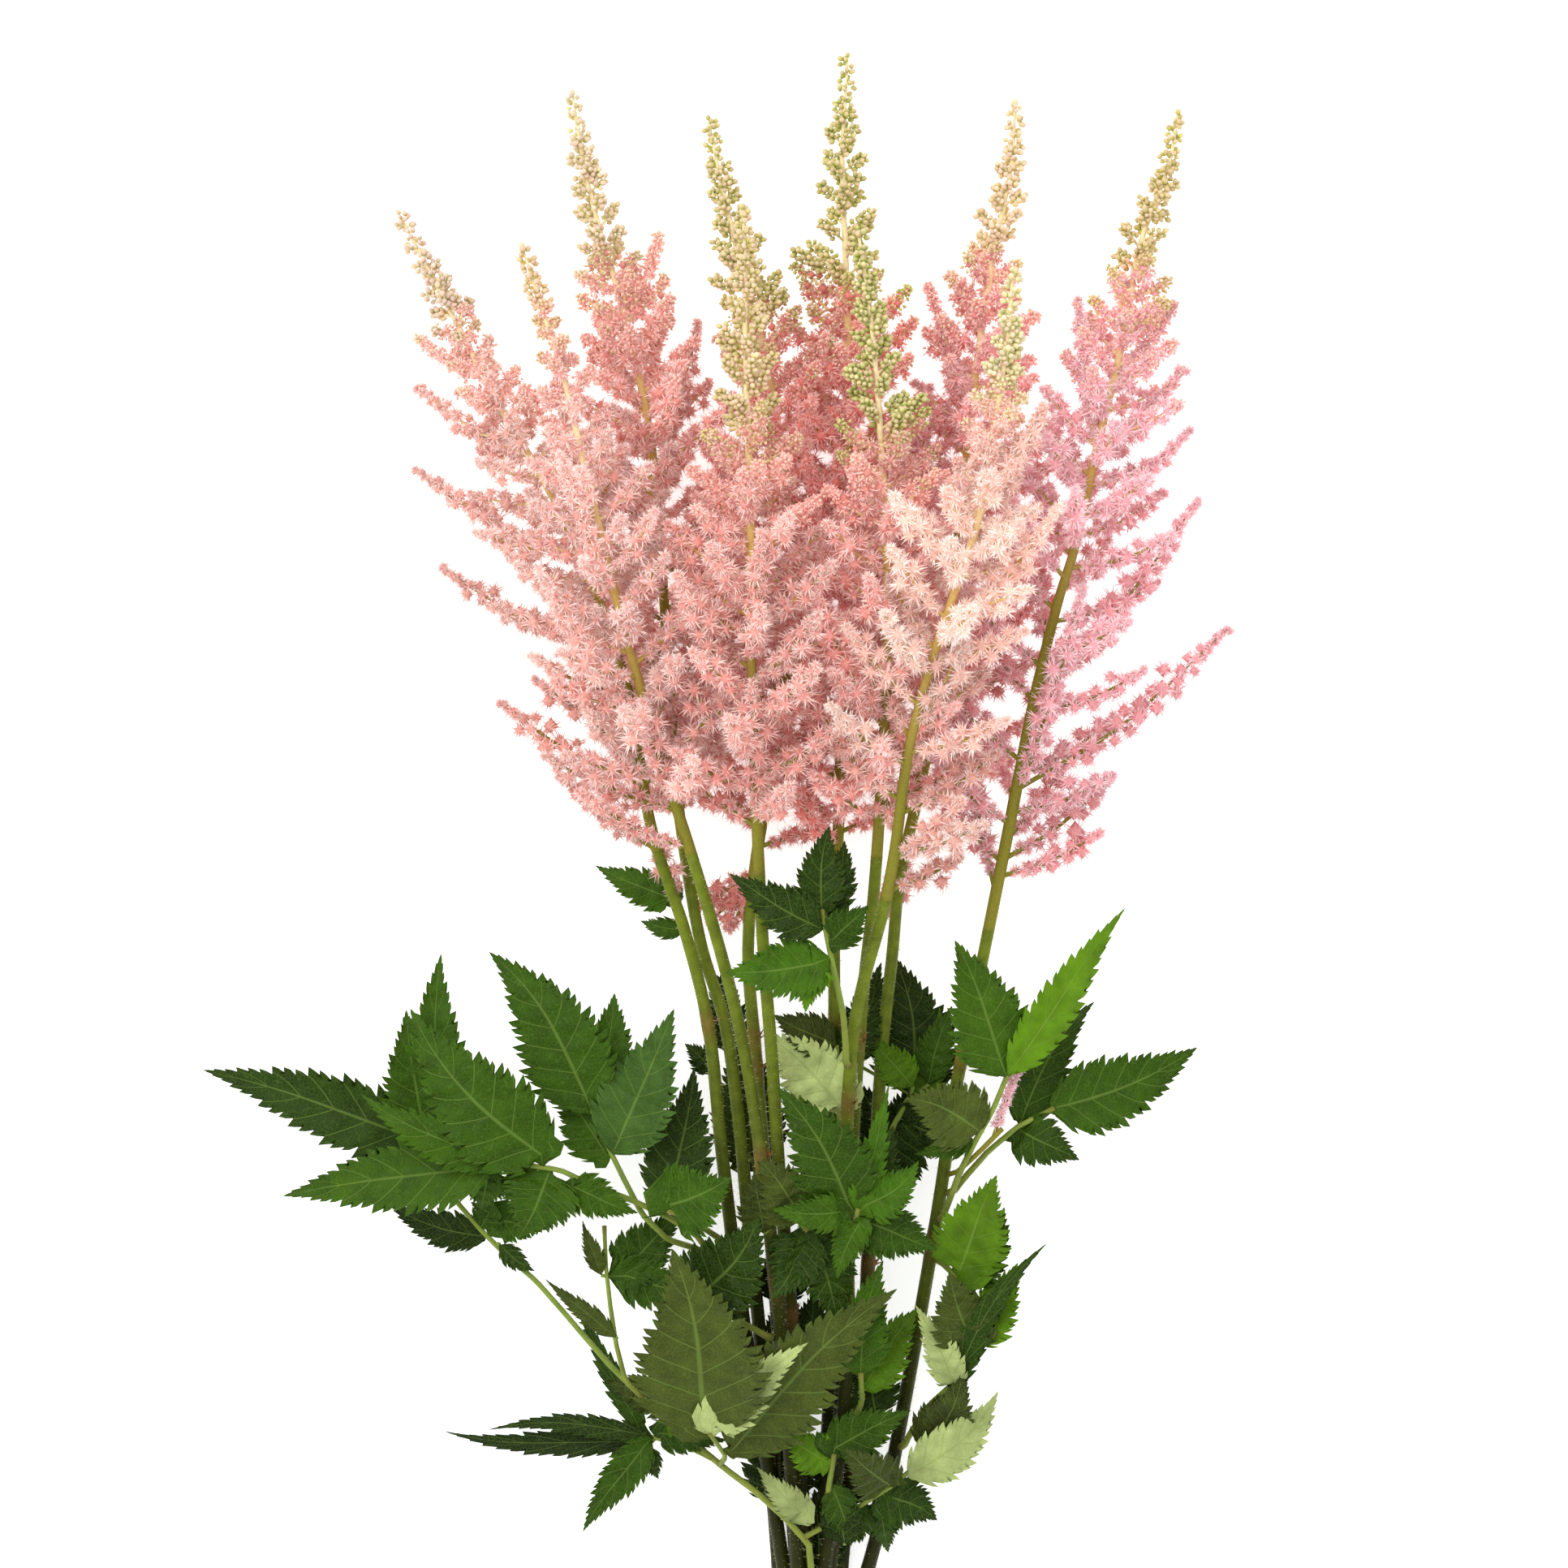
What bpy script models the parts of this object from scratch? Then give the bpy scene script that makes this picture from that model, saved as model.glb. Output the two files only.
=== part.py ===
"""Bunch of ten cut astilbe stems, lying on a flat surface.

Each flowering stem is a green stem, a pink plume with side branches and a bud spire.
Compound leaves with toothed leaflets grow from the lower stems.
The stem points below are millimetres, read in the plane of the picture, with a height
for each point. A point is moved along the line of sight to its height.
"""
import math
import random

import bmesh
import bpy
import numpy as np

# Driving dimensions, in millimetres
UNIT = 0.001
EYE_HEIGHT = 1734.0
PLANE_HEIGHT = 70.0
VIEW_X = 26.7
VIEW_Y = 19.8
CENTRE_X = -1.3
CENTRE_Y = -6.2
GAP = 0.35
STEM_RADIUS = 2.8
STEM_TAPER = 0.0022
HEEL_RADIUS = 0.6
HEEL_LENGTH = 25.0
STEM_RINGS = 9
CORE_RADIUS = 6.4
STALK_RADIUS = 1.5
SUBSTALK_RADIUS = 1.2
BLADE_THICKNESS = 0.8
BLADE_FOLD = 0.18
BEND_PASSES = 4
PATH_STEP = 2.0
NEAR = 22.0
CORE = 16.0
PRESS = 0.6
PRESSED_BAND = 2.4
SAG = 0.06
BUMP = 0.3
BALL_SHARE = 1.32
ROWS = 12
MOST_BRANCHES = 10
SEED = 11

# Where each spire ends and each plume ends, as heights up the picture
SPIRE_ENDS = {"a": 195, "b": 217, "c": 195, "d": 150, "e": 205, "f": 148, "g": 220,
              "h": 171, "i": 214, "j": 200}
PLUME_ENDS = {"a": -6, "b": -6, "c": -20, "d": -14, "e": -22, "f": -8, "g": -8,
              "h": -24, "i": -36, "j": -6}

# Points of each stem from its tip down to its cut end
STEM_LINES = {
    "a": [(-120, 237, 78), (-102, 203, 79), (-84, 168, 80), (-62, 130, 80), (-45, 93, 78),
          (-33, 56, 74), (-24, 3, 66), (-11, -37, 58), (-2, -74, 51), (3, -121, 43), (10, -177, 33),
          (19, -232, 23), (29.5, -298, 9.2)],
    "b": [(-54, 283, 52), (-49, 253, 52), (-42, 226, 51), (-35, 202, 50), (-25, 157, 46),
          (-21, 118, 43), (-18, 71, 41), (-15, 22, 42), (-6, -37, 47), (4, -71, 45), (9, -105, 40),
          (13, -146, 33), (19, -208, 21), (26.1, -298, 2.9)],
    "c": [(-2, 273, 60), (2, 253, 60), (6, 236, 60), (11, 214, 59), (19, 186, 56), (25, 152, 51),
          (29, 115, 47), (29, 71, 43), (23, 31, 41), (16, -9, 41), (13, -43, 41), (15, -74, 39),
          (19, -121, 34), (24, -183, 24), (33, -298, 2.9)],
    "d": [(11, 239, 100), (12, 214, 104), (12, 188, 108), (13, 153, 112), (14, 121, 114),
          (14, 84, 113), (15, 40, 105), (17, -9, 88), (19, -46, 76), (22, -84, 64), (25, -130, 51),
          (30, -192, 37), (36.4, -298, 9.2)],
    "e": [(51, 297, 58), (50, 279, 58), (49, 260, 58), (50, 229, 57), (51, 198, 55), (51, 158, 50),
          (50, 115, 45), (49, 65, 41), (48, 16, 40), (46, -31, 41), (46, -78, 40), (46, -124, 35),
          (45, -192, 23), (39.9, -298, 2.9)],
    "f": [(55, 231, 98), (59, 205, 101), (62, 177, 103), (64, 146, 104), (66, 108, 102),
          (66, 65, 96), (64, 22, 84), (61, -22, 70), (57, -59, 60), (54, -99, 51), (52, -146, 42),
          (49, -208, 29), (43.3, -298, 9.2)],
    "g": [(115, 279, 62), (114, 260, 62), (111, 242, 62), (107, 223, 61), (104, 205, 60),
          (100, 177, 57), (96, 140, 52), (92, 99, 47), (86, 56, 42), (78, 16, 42), (71, -16, 43),
          (68, -46, 43), (64, -84, 41), (61, -130, 35), (56, -202, 23), (46.8, -298, 2.9)],
    "h": [(114, 215, 112), (113, 195, 116), (110, 174, 120), (106, 146, 124), (101, 121, 125),
          (94, 99, 124), (87, 79, 121), (81, 59, 116), (74, 31, 107), (69, -6, 94), (64, -31, 85),
          (57, -56, 76), (53, -78, 69), (51, -108, 60), (51, -152, 49), (50, -214, 35),
          (39.9, -298, 15.5)],
    "i": [(177, 275, 84), (174, 257, 84), (168, 241, 84), (162, 223, 84), (159, 205, 84),
          (154, 180, 83), (146, 147, 82), (138, 111, 79), (131, 88, 77), (122, 51, 72),
          (113, 5, 62), (102, -50, 51), (93, -93, 43), (87, -133, 37), (81, -170, 30),
          (72, -220, 20), (64, -260, 11), (53.7, -298, 2.9)],
    "j": [(-73, 224, 105), (-66, 202, 108), (-59, 181, 110), (-53, 156, 112), (-47, 131, 112),
          (-40, 102, 110), (-35, 81, 107), (-28, 56, 101), (-20, 28, 92), (-9, -6, 80),
          (4, -50, 68), (13, -90, 57), (20, -140, 56), (27, -208, 42), (33, -298, 15.5)],
}

# How far the branches that the bunch rests on hang down in their middle
REST_DROP = 16.0

# Side branches that the bunch rests on: level of the root, tip, and radius
REST_BRANCHES = {
    "b": [(60, (-38, 104, 3.0), 8.0)],
    "e": [(96, (40, 140, 3.0), 8.0)],
    "g": [(50, (118, 98, 3.0), 8.0)],
}

# Side branches that show at the edge or in front: level of the root, tip, and radius
PLACED_BRANCHES = {
    "a": [(195, (-109, 219, 78), 4.2), (174, (-113, 190, 80), 5), (146, (-113, 171, 76), 6),
          (105, (-114, 140, 70), 7.5), (71, (-104, 102, 66), 7.5), (46, (-100, 87, 72), 8.5),
          (20, (-82, 51, 62), 8), (-5, (-71, 32, 56), 6.5)],
    "j": [(90, (-59, 146, 128), 6.5), (71, (-42, 129, 134), 8), (40, (-67, 101, 126), 8),
          (12, (-34, 71, 124), 8.5), (-5, (-52, 17, 96), 6)],
    "b": [(195, (-21, 229, 50), 5), (158, (-45, 198, 44), 5), (136, (-6, 196, 44), 6.5),
          (9, (-37, 28, 24), 7)],
    "c": [(195, (-10, 211, 60), 5), (-14, (0, -30, 30), 7)],
    "d": [(158, (26, 211, 116), 5.5), (71, (18, 116, 138), 7.5), (43, (-14, 100, 130), 8),
          (6, (14, 69, 132), 9), (-6, (33, 28, 118), 8), (-10, (36, -12, 96), 8.5)],
    "e": [(212, (31, 228, 58), 4.8), (217, (65, 240, 58), 4.2), (189, (74, 219, 58), 5)],
    "f": [(146, (40, 178, 112), 6), (40, (38, 94, 122), 9), (16, (48, 62, 118), 9)],
    "g": [(202, (91, 226, 60), 5), (164, (82, 210, 58), 5.5), (-9, (98, 9, 30), 8),
          (-7, (75, -26, 36), 5.5)],
    "h": [(121, (126, 164, 122), 7), (102, (68, 130, 140), 8), (71, (132, 126, 124), 8.5),
          (40, (109, 97, 134), 9), (22, (51, 60, 128), 9), (-9, (95, 14, 108), 9), (-20, (94, -8, 86), 8)],
    "i": [(194, (149, 221, 84), 5), (174, (176, 203, 84), 5), (146, (139, 205, 88), 5.5),
          (146, (179, 178, 82), 5.5), (121, (182, 155, 80), 6), (96, (188, 149, 78), 7),
          (56, (185, 128, 76), 8.5), (17, (196, 79, 70), 9), (12, (141, 95, 98), 9),
          (-9, (152, 22, 56), 9), (-40, (144, -8, 44), 9), (-22, (96, 39, 48), 7)],
}

LEAVES = {
    "leaf_01": ("j", [
        [(35, -289, 20), (37, -277, 26), (35, -268, 28), (19, -253, 30), (2, -240, 32),
         (-19, -222, 32), (-40, -202, 33), (-68, -170, 36), (-83, -157, 38), (-102, -135, 42),
         (-110, -118, 45)],
        [(-1, -238, 32), (-12, -233, 29), (-26, -229, 28)],
        [(3, -241, 32), (5, -238, 40), (3, -232, 46), (-2, -228, 50)],
        [(35, -268, 28), (51, -259, 31), (67, -249, 34), (77, -241, 35), (86, -230, 36)],
        [(-28, -213, 32), (-36, -205, 35), (-38, -192, 36), (-41, -170, 38), (-42, -149, 40)],
    ], [
        ((-86, -154, 39), (-126, -142, 30), 14),
        ((-81, -147, 43), (-60, -149, 46), 14), ((-82, -146, 44), (-93, -140, 46), 11),
        ((-110, -117, 46), (-119, -67, 52), 25), ((-102, -115, 42), (-107, -45, 46), 25),
        ((-101, -114, 40), (-100, -60, 38), 16), ((-116, -115, 43), (-195, -86, 34), 25),
        ((-26, -231, 27), (-104, -232, 13), 10), ((-26, -229, 30), (-87, -224, 24), 8),
        ((-25, -231, 30), (-53, -264, 24), 14), ((-28, -227, 26), (-54, -177, 18), 9),
        ((-22, -228, 31), (5, -232, 37), 13),
        ((-21, -227, 34), (-4, -204, 44), 19), ((-15, -217, 30), (-42, -207, 25), 15),
        ((-4, -227, 50), (-12, -157, 66), 46), ((-1, -225, 54), (33, -191, 66), 19),
        ((7, -235, 44), (67, -170, 66), 33), ((72, -246, 36), (111, -215, 42), 19),
        ((67, -248, 38), (50, -234, 54), 19), ((65, -252, 30), (86, -260, 20), 19),
        ((63, -254, 28), (66, -274, 16), 14), ((55, -257, 27), (49, -271, 18), 13),
        ((86, -229, 37), (96, -205, 46), 18), ((35, -260, 34), (17, -241, 40), 12),
        ((-34, -166, 38), (-13, -142, 36), 20),
        ((-33, -168, 38), (-3, -174, 42), 18),
    ]),
    "leaf_02": ("i", [
        [(69, -232, 16), (78, -222, 30), (88, -212, 35), (96, -204, 38), (99, -193, 41)],
    ], [
        ((89, -215, 38), (125, -154, 50), 11), ((92, -210, 40), (77, -179, 48), 13),
        ((98, -192, 43), (89, -167, 50), 23), ((99, -192, 39), (117, -164, 34), 19),
        ((81, -221, 30), (91, -237, 30), 14),
    ]),
    "leaf_03": ("i", [
        [(83, -160, 32), (89, -165, 38), (93, -169, 40)],
    ], [
        ((93, -169, 42), (105, -129, 46), 27), ((95, -169, 38), (113, -143, 34), 19),
    ]),
    "leaf_04": ("i", [
        [(87, -136, 37), (99, -126, 43), (116, -111, 46), (130, -104, 47)],
    ], [
        ((117, -110, 44), (142, -61, 34), 19), ((130, -104, 47), (185, -81, 40), 25),
        ((116, -112, 44), (140, -122, 36), 19),
    ]),
    "leaf_05": ("i", [
        [(86, -146, 35), (91, -136, 47), (97, -121, 54), (103, -112, 57), (109, -99, 61),
         (113, -89, 63)],
    ], [
        ((112, -93, 64), (95, -39, 66), 28), ((114, -89, 65), (153, -25, 60), 16),
        ((102, -113, 59), (74, -98, 62), 25), ((100, -116, 56), (77, -123, 54), 9),
    ]),
    "leaf_06": ("g", [
        [(61, -121, 36), (69, -109, 29), (75, -99, 26)],
    ], [
        ((76, -98, 25), (71, -46, 22), 30), ((78, -100, 29), (89, -66, 32), 13),
        ((71, -108, 27), (92, -115, 18), 22), ((70, -112, 27), (68, -144, 23), 24),
    ]),
    "leaf_07": ("e", [
        [(46, -124, 35), (48, -113, 48), (48, -104, 52)],
    ], [
        ((48, -103, 53), (20, -74, 49), 26),
    ]),
    "leaf_08": ("h", [
        [(51, -164, 47), (53, -152, 60), (55, -142, 66)],
    ], [
        ((51, -140, 68), (25, -95, 76), 28), ((53, -143, 66), (21, -143, 68), 14),
        ((58, -141, 68), (80, -126, 72), 17), ((57, -145, 67), (46, -169, 64), 12),
        ((56, -139, 70), (64, -95, 74), 11), ((55, -139, 64), (70, -112, 58), 22),
        ((57, -147, 62), (84, -160, 56), 20),
    ]),
    "leaf_09": ("h", [
        [(52, -87, 66), (50, -72, 80), (44, -43, 93), (41, -28, 96)],
    ], [
        ((38, -49, 95), (4, -53, 93), 21), ((40, -35, 96), (7, -13, 97), 17),
        ((41, -26, 97), (43, 4, 94), 17), ((43, -29, 93), (51, -2, 86), 14),
        ((45, -40, 95), (60, -28, 98), 14), ((38, -50, 92), (33, -67, 94), 14),
    ]),
    "leaf_10": ("b", [
        [(-3, -49, 46), (-9, -42, 47), (-13, -34, 48), (-16, -25, 49)],
    ], [
        ((-16, -24, 50), (-46, -13, 44), 14), ((-13, -36, 47), (-28, -32, 43), 8),
    ]),
    "leaf_11": ("a", [
        [(9, -167, 35), (-6, -153, 46), (-25, -142, 52), (-48, -133, 57), (-64, -126, 60),
         (-85, -126, 61)],
    ], [
        ((-85, -126, 62), (-166, -135, 48), 25), ((-86, -123, 64), (-137, -102, 70), 17),
        ((-66, -122, 65), (-119, -68, 66), 34), ((-86, -128, 59), (-89, -143, 52), 19),
        ((-63, -128, 60), (-74, -154, 50), 27), ((-54, -134, 60), (-30, -146, 62), 15),
    ]),
    "leaf_12": ("b", [
        [(16, -164, 29), (4, -162, 26), (-9, -157, 37), (-23, -151, 46), (-33, -134, 51), (-40, -120, 54),
         (-47, -104, 56)],
    ], [
        ((-47, -104, 57), (-81, -41, 56), 31), ((-46, -104, 53), (-38, -60, 48), 23),
        ((-38, -120, 56), (-14, -67, 60), 27), ((-41, -122, 51), (-60, -94, 44), 20),
    ]),
    "leaf_13": ("a", [
        [(7, -155, 37), (-6, -148, 52), (-18, -143, 60)],
    ], [
        ((-19, -142, 61), (6, -130, 72), 26), ((-17, -142, 56), (-4, -90, 36), 24),
    ]),
    "leaf_14": ("j", [
        [(25, -189, 36), (8, -184, 48), (-6, -178, 52)],
    ], [
        ((-7, -177, 53), (19, -146, 64), 29),
    ]),
    "leaf_15": ("h", [
        [(50, -222, 33), (57, -214, 39), (56, -205, 48)],
    ], [
        ((56, -205, 48), (64, -162, 58), 19), ((58, -209, 40), (78, -180, 37), 19),
    ]),
    "leaf_16": ("h", [
        [(46, -254, 26), (44, -245, 36), (46, -236, 40)],
    ], [
        ((46, -234, 41), (74, -218, 46), 19), ((43, -239, 38), (26, -229, 42), 16),
        ((45, -248, 34), (53, -271, 30), 13),
    ]),
    "leaf_17": ("d", [
        [(26, -142, 48), (32, -147, 57), (36, -151, 59)],
    ], [
        ((35, -149, 60), (18, -122, 62), 22), ((34, -153, 58), (24, -178, 60), 20),
        ((37, -153, 57), (46, -188, 55), 24),
    ]),
    "leaf_18": ("c", [
        [(18, -136, 36), (17, -131, 27), (15, -126, 22)],
    ], [
        ((14, -125, 21), (10, -72, 20), 26),
    ]),
}

# A small spray among the leaves: parent stem, stalk points, tip, and radius
LOW_SPRAY = ("i", [(89, -128, 38), (100, -122, 51), (110, -112, 56)], (121, -74, 57.5), 3.4)

# Leaflet outline: place of each tooth along the blade, and its share of the half width
TEETH_LARGE = ((0.20, 0.80), (0.36, 1.0), (0.55, 0.80), (0.74, 0.46))
TEETH_MIDDLE = ((0.24, 0.90), (0.46, 0.96), (0.70, 0.52))
TEETH_SMALL = ((0.30, 1.0), (0.60, 0.70))
NOTCH_BACK = 0.11
NOTCH_SHARE = 0.80
ROUND_BASE = 0.55

MATERIALS = {
    "stem_green": ((0.26, 0.31, 0.09, 1.0), 0.55),
    "floret_pink": ((0.86, 0.45, 0.44, 1.0), 0.85),
    "bud_green": ((0.72, 0.66, 0.30, 1.0), 0.7),
    "leaf_green": ((0.05, 0.14, 0.04, 1.0), 0.5),
}


def seen(point):
    """Moves a point of the picture plane along the line of sight to its height."""
    x, y, z = point
    scale = (EYE_HEIGHT - z) / (EYE_HEIGHT - PLANE_HEIGHT)
    across = VIEW_X + (x - VIEW_X) * scale - CENTRE_X
    along = VIEW_Y + (y - VIEW_Y) * scale - CENTRE_Y
    return np.array((across, along, z), dtype=float)


def smooth_path(points, step=PATH_STEP):
    """Evenly spaced points on a smooth curve through the given points."""
    knots = np.array(points, dtype=float)
    first = 2.0 * knots[0] - knots[1]
    last = 2.0 * knots[-1] - knots[-2]
    ext = np.vstack([first, knots, last])
    fine = []
    for i in range(1, len(ext) - 2):
        p0, p1, p2, p3 = ext[i - 1:i + 3]
        for t in np.linspace(0.0, 1.0, 12, endpoint=False):
            bend = 2 * p0 - 5 * p1 + 4 * p2 - p3
            twist = -p0 + 3 * p1 - 3 * p2 + p3
            fine.append(0.5 * (2 * p1 + (p2 - p0) * t + bend * t * t + twist * t ** 3))
    fine.append(knots[-1])
    fine = np.array(fine)
    run = path_lengths(fine)
    count = max(3, int(round(run[-1] / step)) + 1)
    return along_path(fine, np.linspace(0.0, run[-1], count))


def path_lengths(path):
    """Distance of each point of a path from its start."""
    steps = np.linalg.norm(np.diff(path, axis=0), axis=1)
    return np.concatenate([[0.0], np.cumsum(steps)])


def along_path(path, distances):
    """Points of a path at the given distances from its start."""
    run = path_lengths(path)
    return np.stack([np.interp(distances, run, path[:, k]) for k in range(3)], axis=1)


def unit(vector):
    """Vector of length one."""
    return vector / (np.linalg.norm(vector) + 1e-12)


def path_frames(path, start_normal=None):
    """Two side vectors at each point of a path, turned as little as possible."""
    tangents = np.gradient(path, axis=0)
    tangents = tangents / (np.linalg.norm(tangents, axis=1)[:, None] + 1e-12)
    if start_normal is not None:
        tangents[0] = unit(np.array(start_normal))
    seed = np.array((0.0, 0.0, 1.0))
    if abs(tangents[0][2]) > 0.8:
        seed = np.array((1.0, 0.0, 0.0))
    side = unit(np.cross(tangents[0], seed))
    pairs = []
    for tangent in tangents:
        side = unit(side - tangent * np.dot(side, tangent))
        pairs.append((side, np.cross(tangent, side)))
    return pairs


def ring_solid(path, radii, sides, bump=0.0, start_normal=None):
    """A closed tube round a path, with raised and sunk points where bump is set."""
    verts = []
    faces = []
    rings = len(path)
    pairs = path_frames(path, start_normal)
    for i in range(rings):
        side, rise = pairs[i]
        for j in range(sides):
            angle = 2.0 * math.pi * (j + 0.5 * (i % 2) * (bump > 0.0)) / sides
            lift = bump * (1.0 if (i + j) % 2 else -0.6) if 0 < i < rings - 1 else 0.0
            reach = radii[i] * (1.0 + lift)
            verts.append(path[i] + reach * (math.cos(angle) * side + math.sin(angle) * rise))
    for i in range(rings - 1):
        for j in range(sides):
            a = i * sides + j
            b = i * sides + (j + 1) % sides
            c = a + sides
            d = b + sides
            if i % 2 and bump > 0.0:
                faces.append((a, b, c))
                faces.append((b, d, c))
            else:
                faces.append((a, d, c))
                faces.append((a, b, d))
    faces.append(tuple(range(sides - 1, -1, -1)))
    faces.append(tuple(range((rings - 1) * sides, rings * sides)))
    return np.array(verts), faces


def cob_solid(path, places, radii, sides):
    """A pointed cob with raised and sunk points round it, like crowded florets."""
    spots = along_path(path, places)
    pairs = path_frames(spots)
    verts = [spots[0]]
    for i in range(1, len(spots) - 1):
        side, rise = pairs[i]
        for j in range(sides):
            angle = 2.0 * math.pi * (j + 0.5 * (i % 2)) / sides
            reach = radii[i] * (1.0 + BUMP * (1.0 if (i + j) % 2 else -0.6))
            verts.append(spots[i] + reach * (math.cos(angle) * side + math.sin(angle) * rise))
    verts.append(spots[-1])
    last = len(verts) - 1
    faces = []
    for j in range(sides):
        after = (j + 1) % sides
        faces.append((0, 1 + after, 1 + j))
        faces.append((last, last - sides + j, last - sides + after))
    for i in range(len(spots) - 3):
        for j in range(sides):
            a = 1 + i * sides + j
            b = 1 + i * sides + (j + 1) % sides
            c = a + sides
            d = b + sides
            if i % 2:
                faces.append((a, d, c))
                faces.append((a, b, d))
            else:
                faces.append((a, b, c))
                faces.append((b, d, c))
    return np.array(verts), faces


def on_the_table(verts, band=0.0):
    """Presses what lies in a low band, or would reach below the table, flat onto it."""
    verts[:, 2] = np.where(verts[:, 2] < band, 0.0, verts[:, 2])
    return verts


class Crowd:
    """Every place that is already taken, as balls with an owner and a name."""

    def __init__(self):
        self.centres = np.zeros((0, 3))
        self.radii = np.zeros(0)
        self.owners = np.zeros(0, dtype=int)
        self.outer = np.zeros(0, dtype=bool)
        self.names = []

    def owner(self, name):
        if name not in self.names:
            self.names.append(name)
        return self.names.index(name)

    def add(self, name, centres, radii, outer=None):
        """Takes a row of balls for the named piece, and says which lie far from its axis."""
        owner = self.owner(name)
        outer = np.zeros(len(centres), dtype=bool) if outer is None else outer
        self.outer = np.concatenate([self.outer, outer])
        self.centres = np.vstack([self.centres, centres])
        self.radii = np.concatenate([self.radii, np.broadcast_to(radii, len(centres))])
        self.owners = np.concatenate([self.owners, np.full(len(centres), owner)])

    def room(self, centres, radii, own):
        """Smallest gap from the given balls to the balls of every other owner."""
        low = centres.min(axis=0) - NEAR
        high = centres.max(axis=0) + NEAR
        inside = ((self.centres > low) & (self.centres < high)).all(axis=1)
        mine = np.isin(self.owners, [self.owner(name) for name in own])
        return self.smallest(centres, radii, inside & ~mine)

    def own_room(self, name, centres, radii):
        """Smallest gap from the given balls to the outer balls of the same piece."""
        return self.smallest(centres, radii, self.outer & (self.owners == self.owner(name)))

    def smallest(self, centres, radii, chosen):
        """Smallest gap from the given balls to the chosen ones."""
        if len(centres) == 0 or not chosen.any():
            return 99.0
        away = centres[:, None, :] - self.centres[chosen][None, :, :]
        gaps = np.linalg.norm(away, axis=2) - self.radii[chosen][None, :]
        return float((gaps - np.asarray(radii)[:, None]).min())


def stem_paths():
    """Full curve of each stem, tip first, and where its spire and plume end."""
    paths = {}
    for key, points in STEM_LINES.items():
        ends = [-np.array(points)[:, 1], np.arange(len(points))]
        path = smooth_path([seen(p) for p in points])
        run = path_lengths(path)
        marks = []
        for level in (SPIRE_ENDS[key], PLUME_ENDS[key]):
            row = np.interp(-level, ends[0], ends[1])
            low = int(row)
            part = row - low
            mixed = np.array(points[low]) * (1 - part) + np.array(points[low + 1]) * part
            spot = seen(mixed)
            marks.append(run[np.argmin(np.linalg.norm(path - spot, axis=1))])
        paths[key] = (path, marks[0], marks[1])
    return paths


def stem_radius(distance_up):
    """Radius of a stem at a distance from its cut end."""
    heel = HEEL_RADIUS * max(0.0, 1.0 - distance_up / HEEL_LENGTH)
    return STEM_RADIUS - STEM_TAPER * max(0.0, distance_up - 60.0) + heel


def branch_profile(length, radius):
    """Places and radii of the rings of one side branch, from its root to its tip."""
    if length > 30.0:
        shares = ((0.0, 0.1), (0.28, 0.75), (0.56, 1.0), (0.82, 0.7), (1.0, 0.1))
    else:
        shares = ((0.0, 0.1), (0.38, 1.0), (0.76, 0.8), (1.0, 0.1))
    places = np.array([share[0] for share in shares]) * length
    return places, np.array([share[1] for share in shares]) * radius


def branch_path(root, tip, bend):
    """Curve of a side branch, with its middle moved by the bend."""
    return smooth_path([root, (root + tip) * 0.5 + bend, tip])


def usual_bend(length):
    """Bend of a side branch that leaves its axis and then turns up."""
    return np.array((0.0, -SAG * length, -0.2 * SAG * length))


def branch_balls(root, tip, radius, bend):
    """Balls that fill a side branch, for keeping it clear of others."""
    path = branch_path(root, tip, bend)
    run = path_lengths(path)
    places, radii = branch_profile(run[-1], radius)
    return path, np.interp(run, places, radii)


def spread_length(distance):
    """Usual length of a side branch at a distance from the tip of its stem."""
    return min(78.0, max(6.0, 0.36 * (distance - 22.0)))


def placed_branches(paths, crowd, found, branches, drop=0.0):
    """Adds side branches with their tips where the given rows say."""
    for key, rows in branches.items():
        path = paths[key][0]
        for level, tip, radius in rows:
            points = STEM_LINES[key]
            height = np.interp(-level, -np.array(points)[:, 1], np.array(points)[:, 2])
            target = seen((VIEW_X, level, height))[1]
            root = path[np.argmin(np.abs(path[:, 1] - target))]
            fit_branch(found, crowd, key, root, seen(tip), radius, 0.6, drop)


def branch_fits(crowd, key, root, end, radius, bend):
    """Balls of a side branch, where it clears the table and every other piece."""
    line, radii = branch_balls(root, end, radius, bend)
    line, radii = line[2:], radii[2:]
    if (line[:, 2] - radii).min() < -PRESS * radius:
        return None
    if crowd.room(line, radii * BALL_SHARE + GAP, ("rachis_" + key, "plume_" + key)) <= 0.0:
        return None
    outer = np.linalg.norm(line - root, axis=1) > CORE
    if crowd.own_room("plume_" + key, line[outer], radii[outer]) <= 0.0:
        return None
    return line, radii * BALL_SHARE, outer


def fit_branch(found, crowd, key, root, tip, radius, shortest, drop=0.0):
    """Adds a side branch, shortened until it clears every other piece."""
    away = tip - root
    for share in np.arange(1.0, shortest - 0.01, -0.08):
        end = root + away * share
        end[2] = tip[2] if drop else max(end[2], radius * 0.36)
        bend = usual_bend(np.linalg.norm(away) * share) - np.array((0.0, 0.0, drop))
        balls = branch_fits(crowd, key, root, end, radius, bend)
        if balls:
            crowd.add("plume_" + key, *balls)
            found[key].append((root, end, radius, bend))
            return True
    return False


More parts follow.
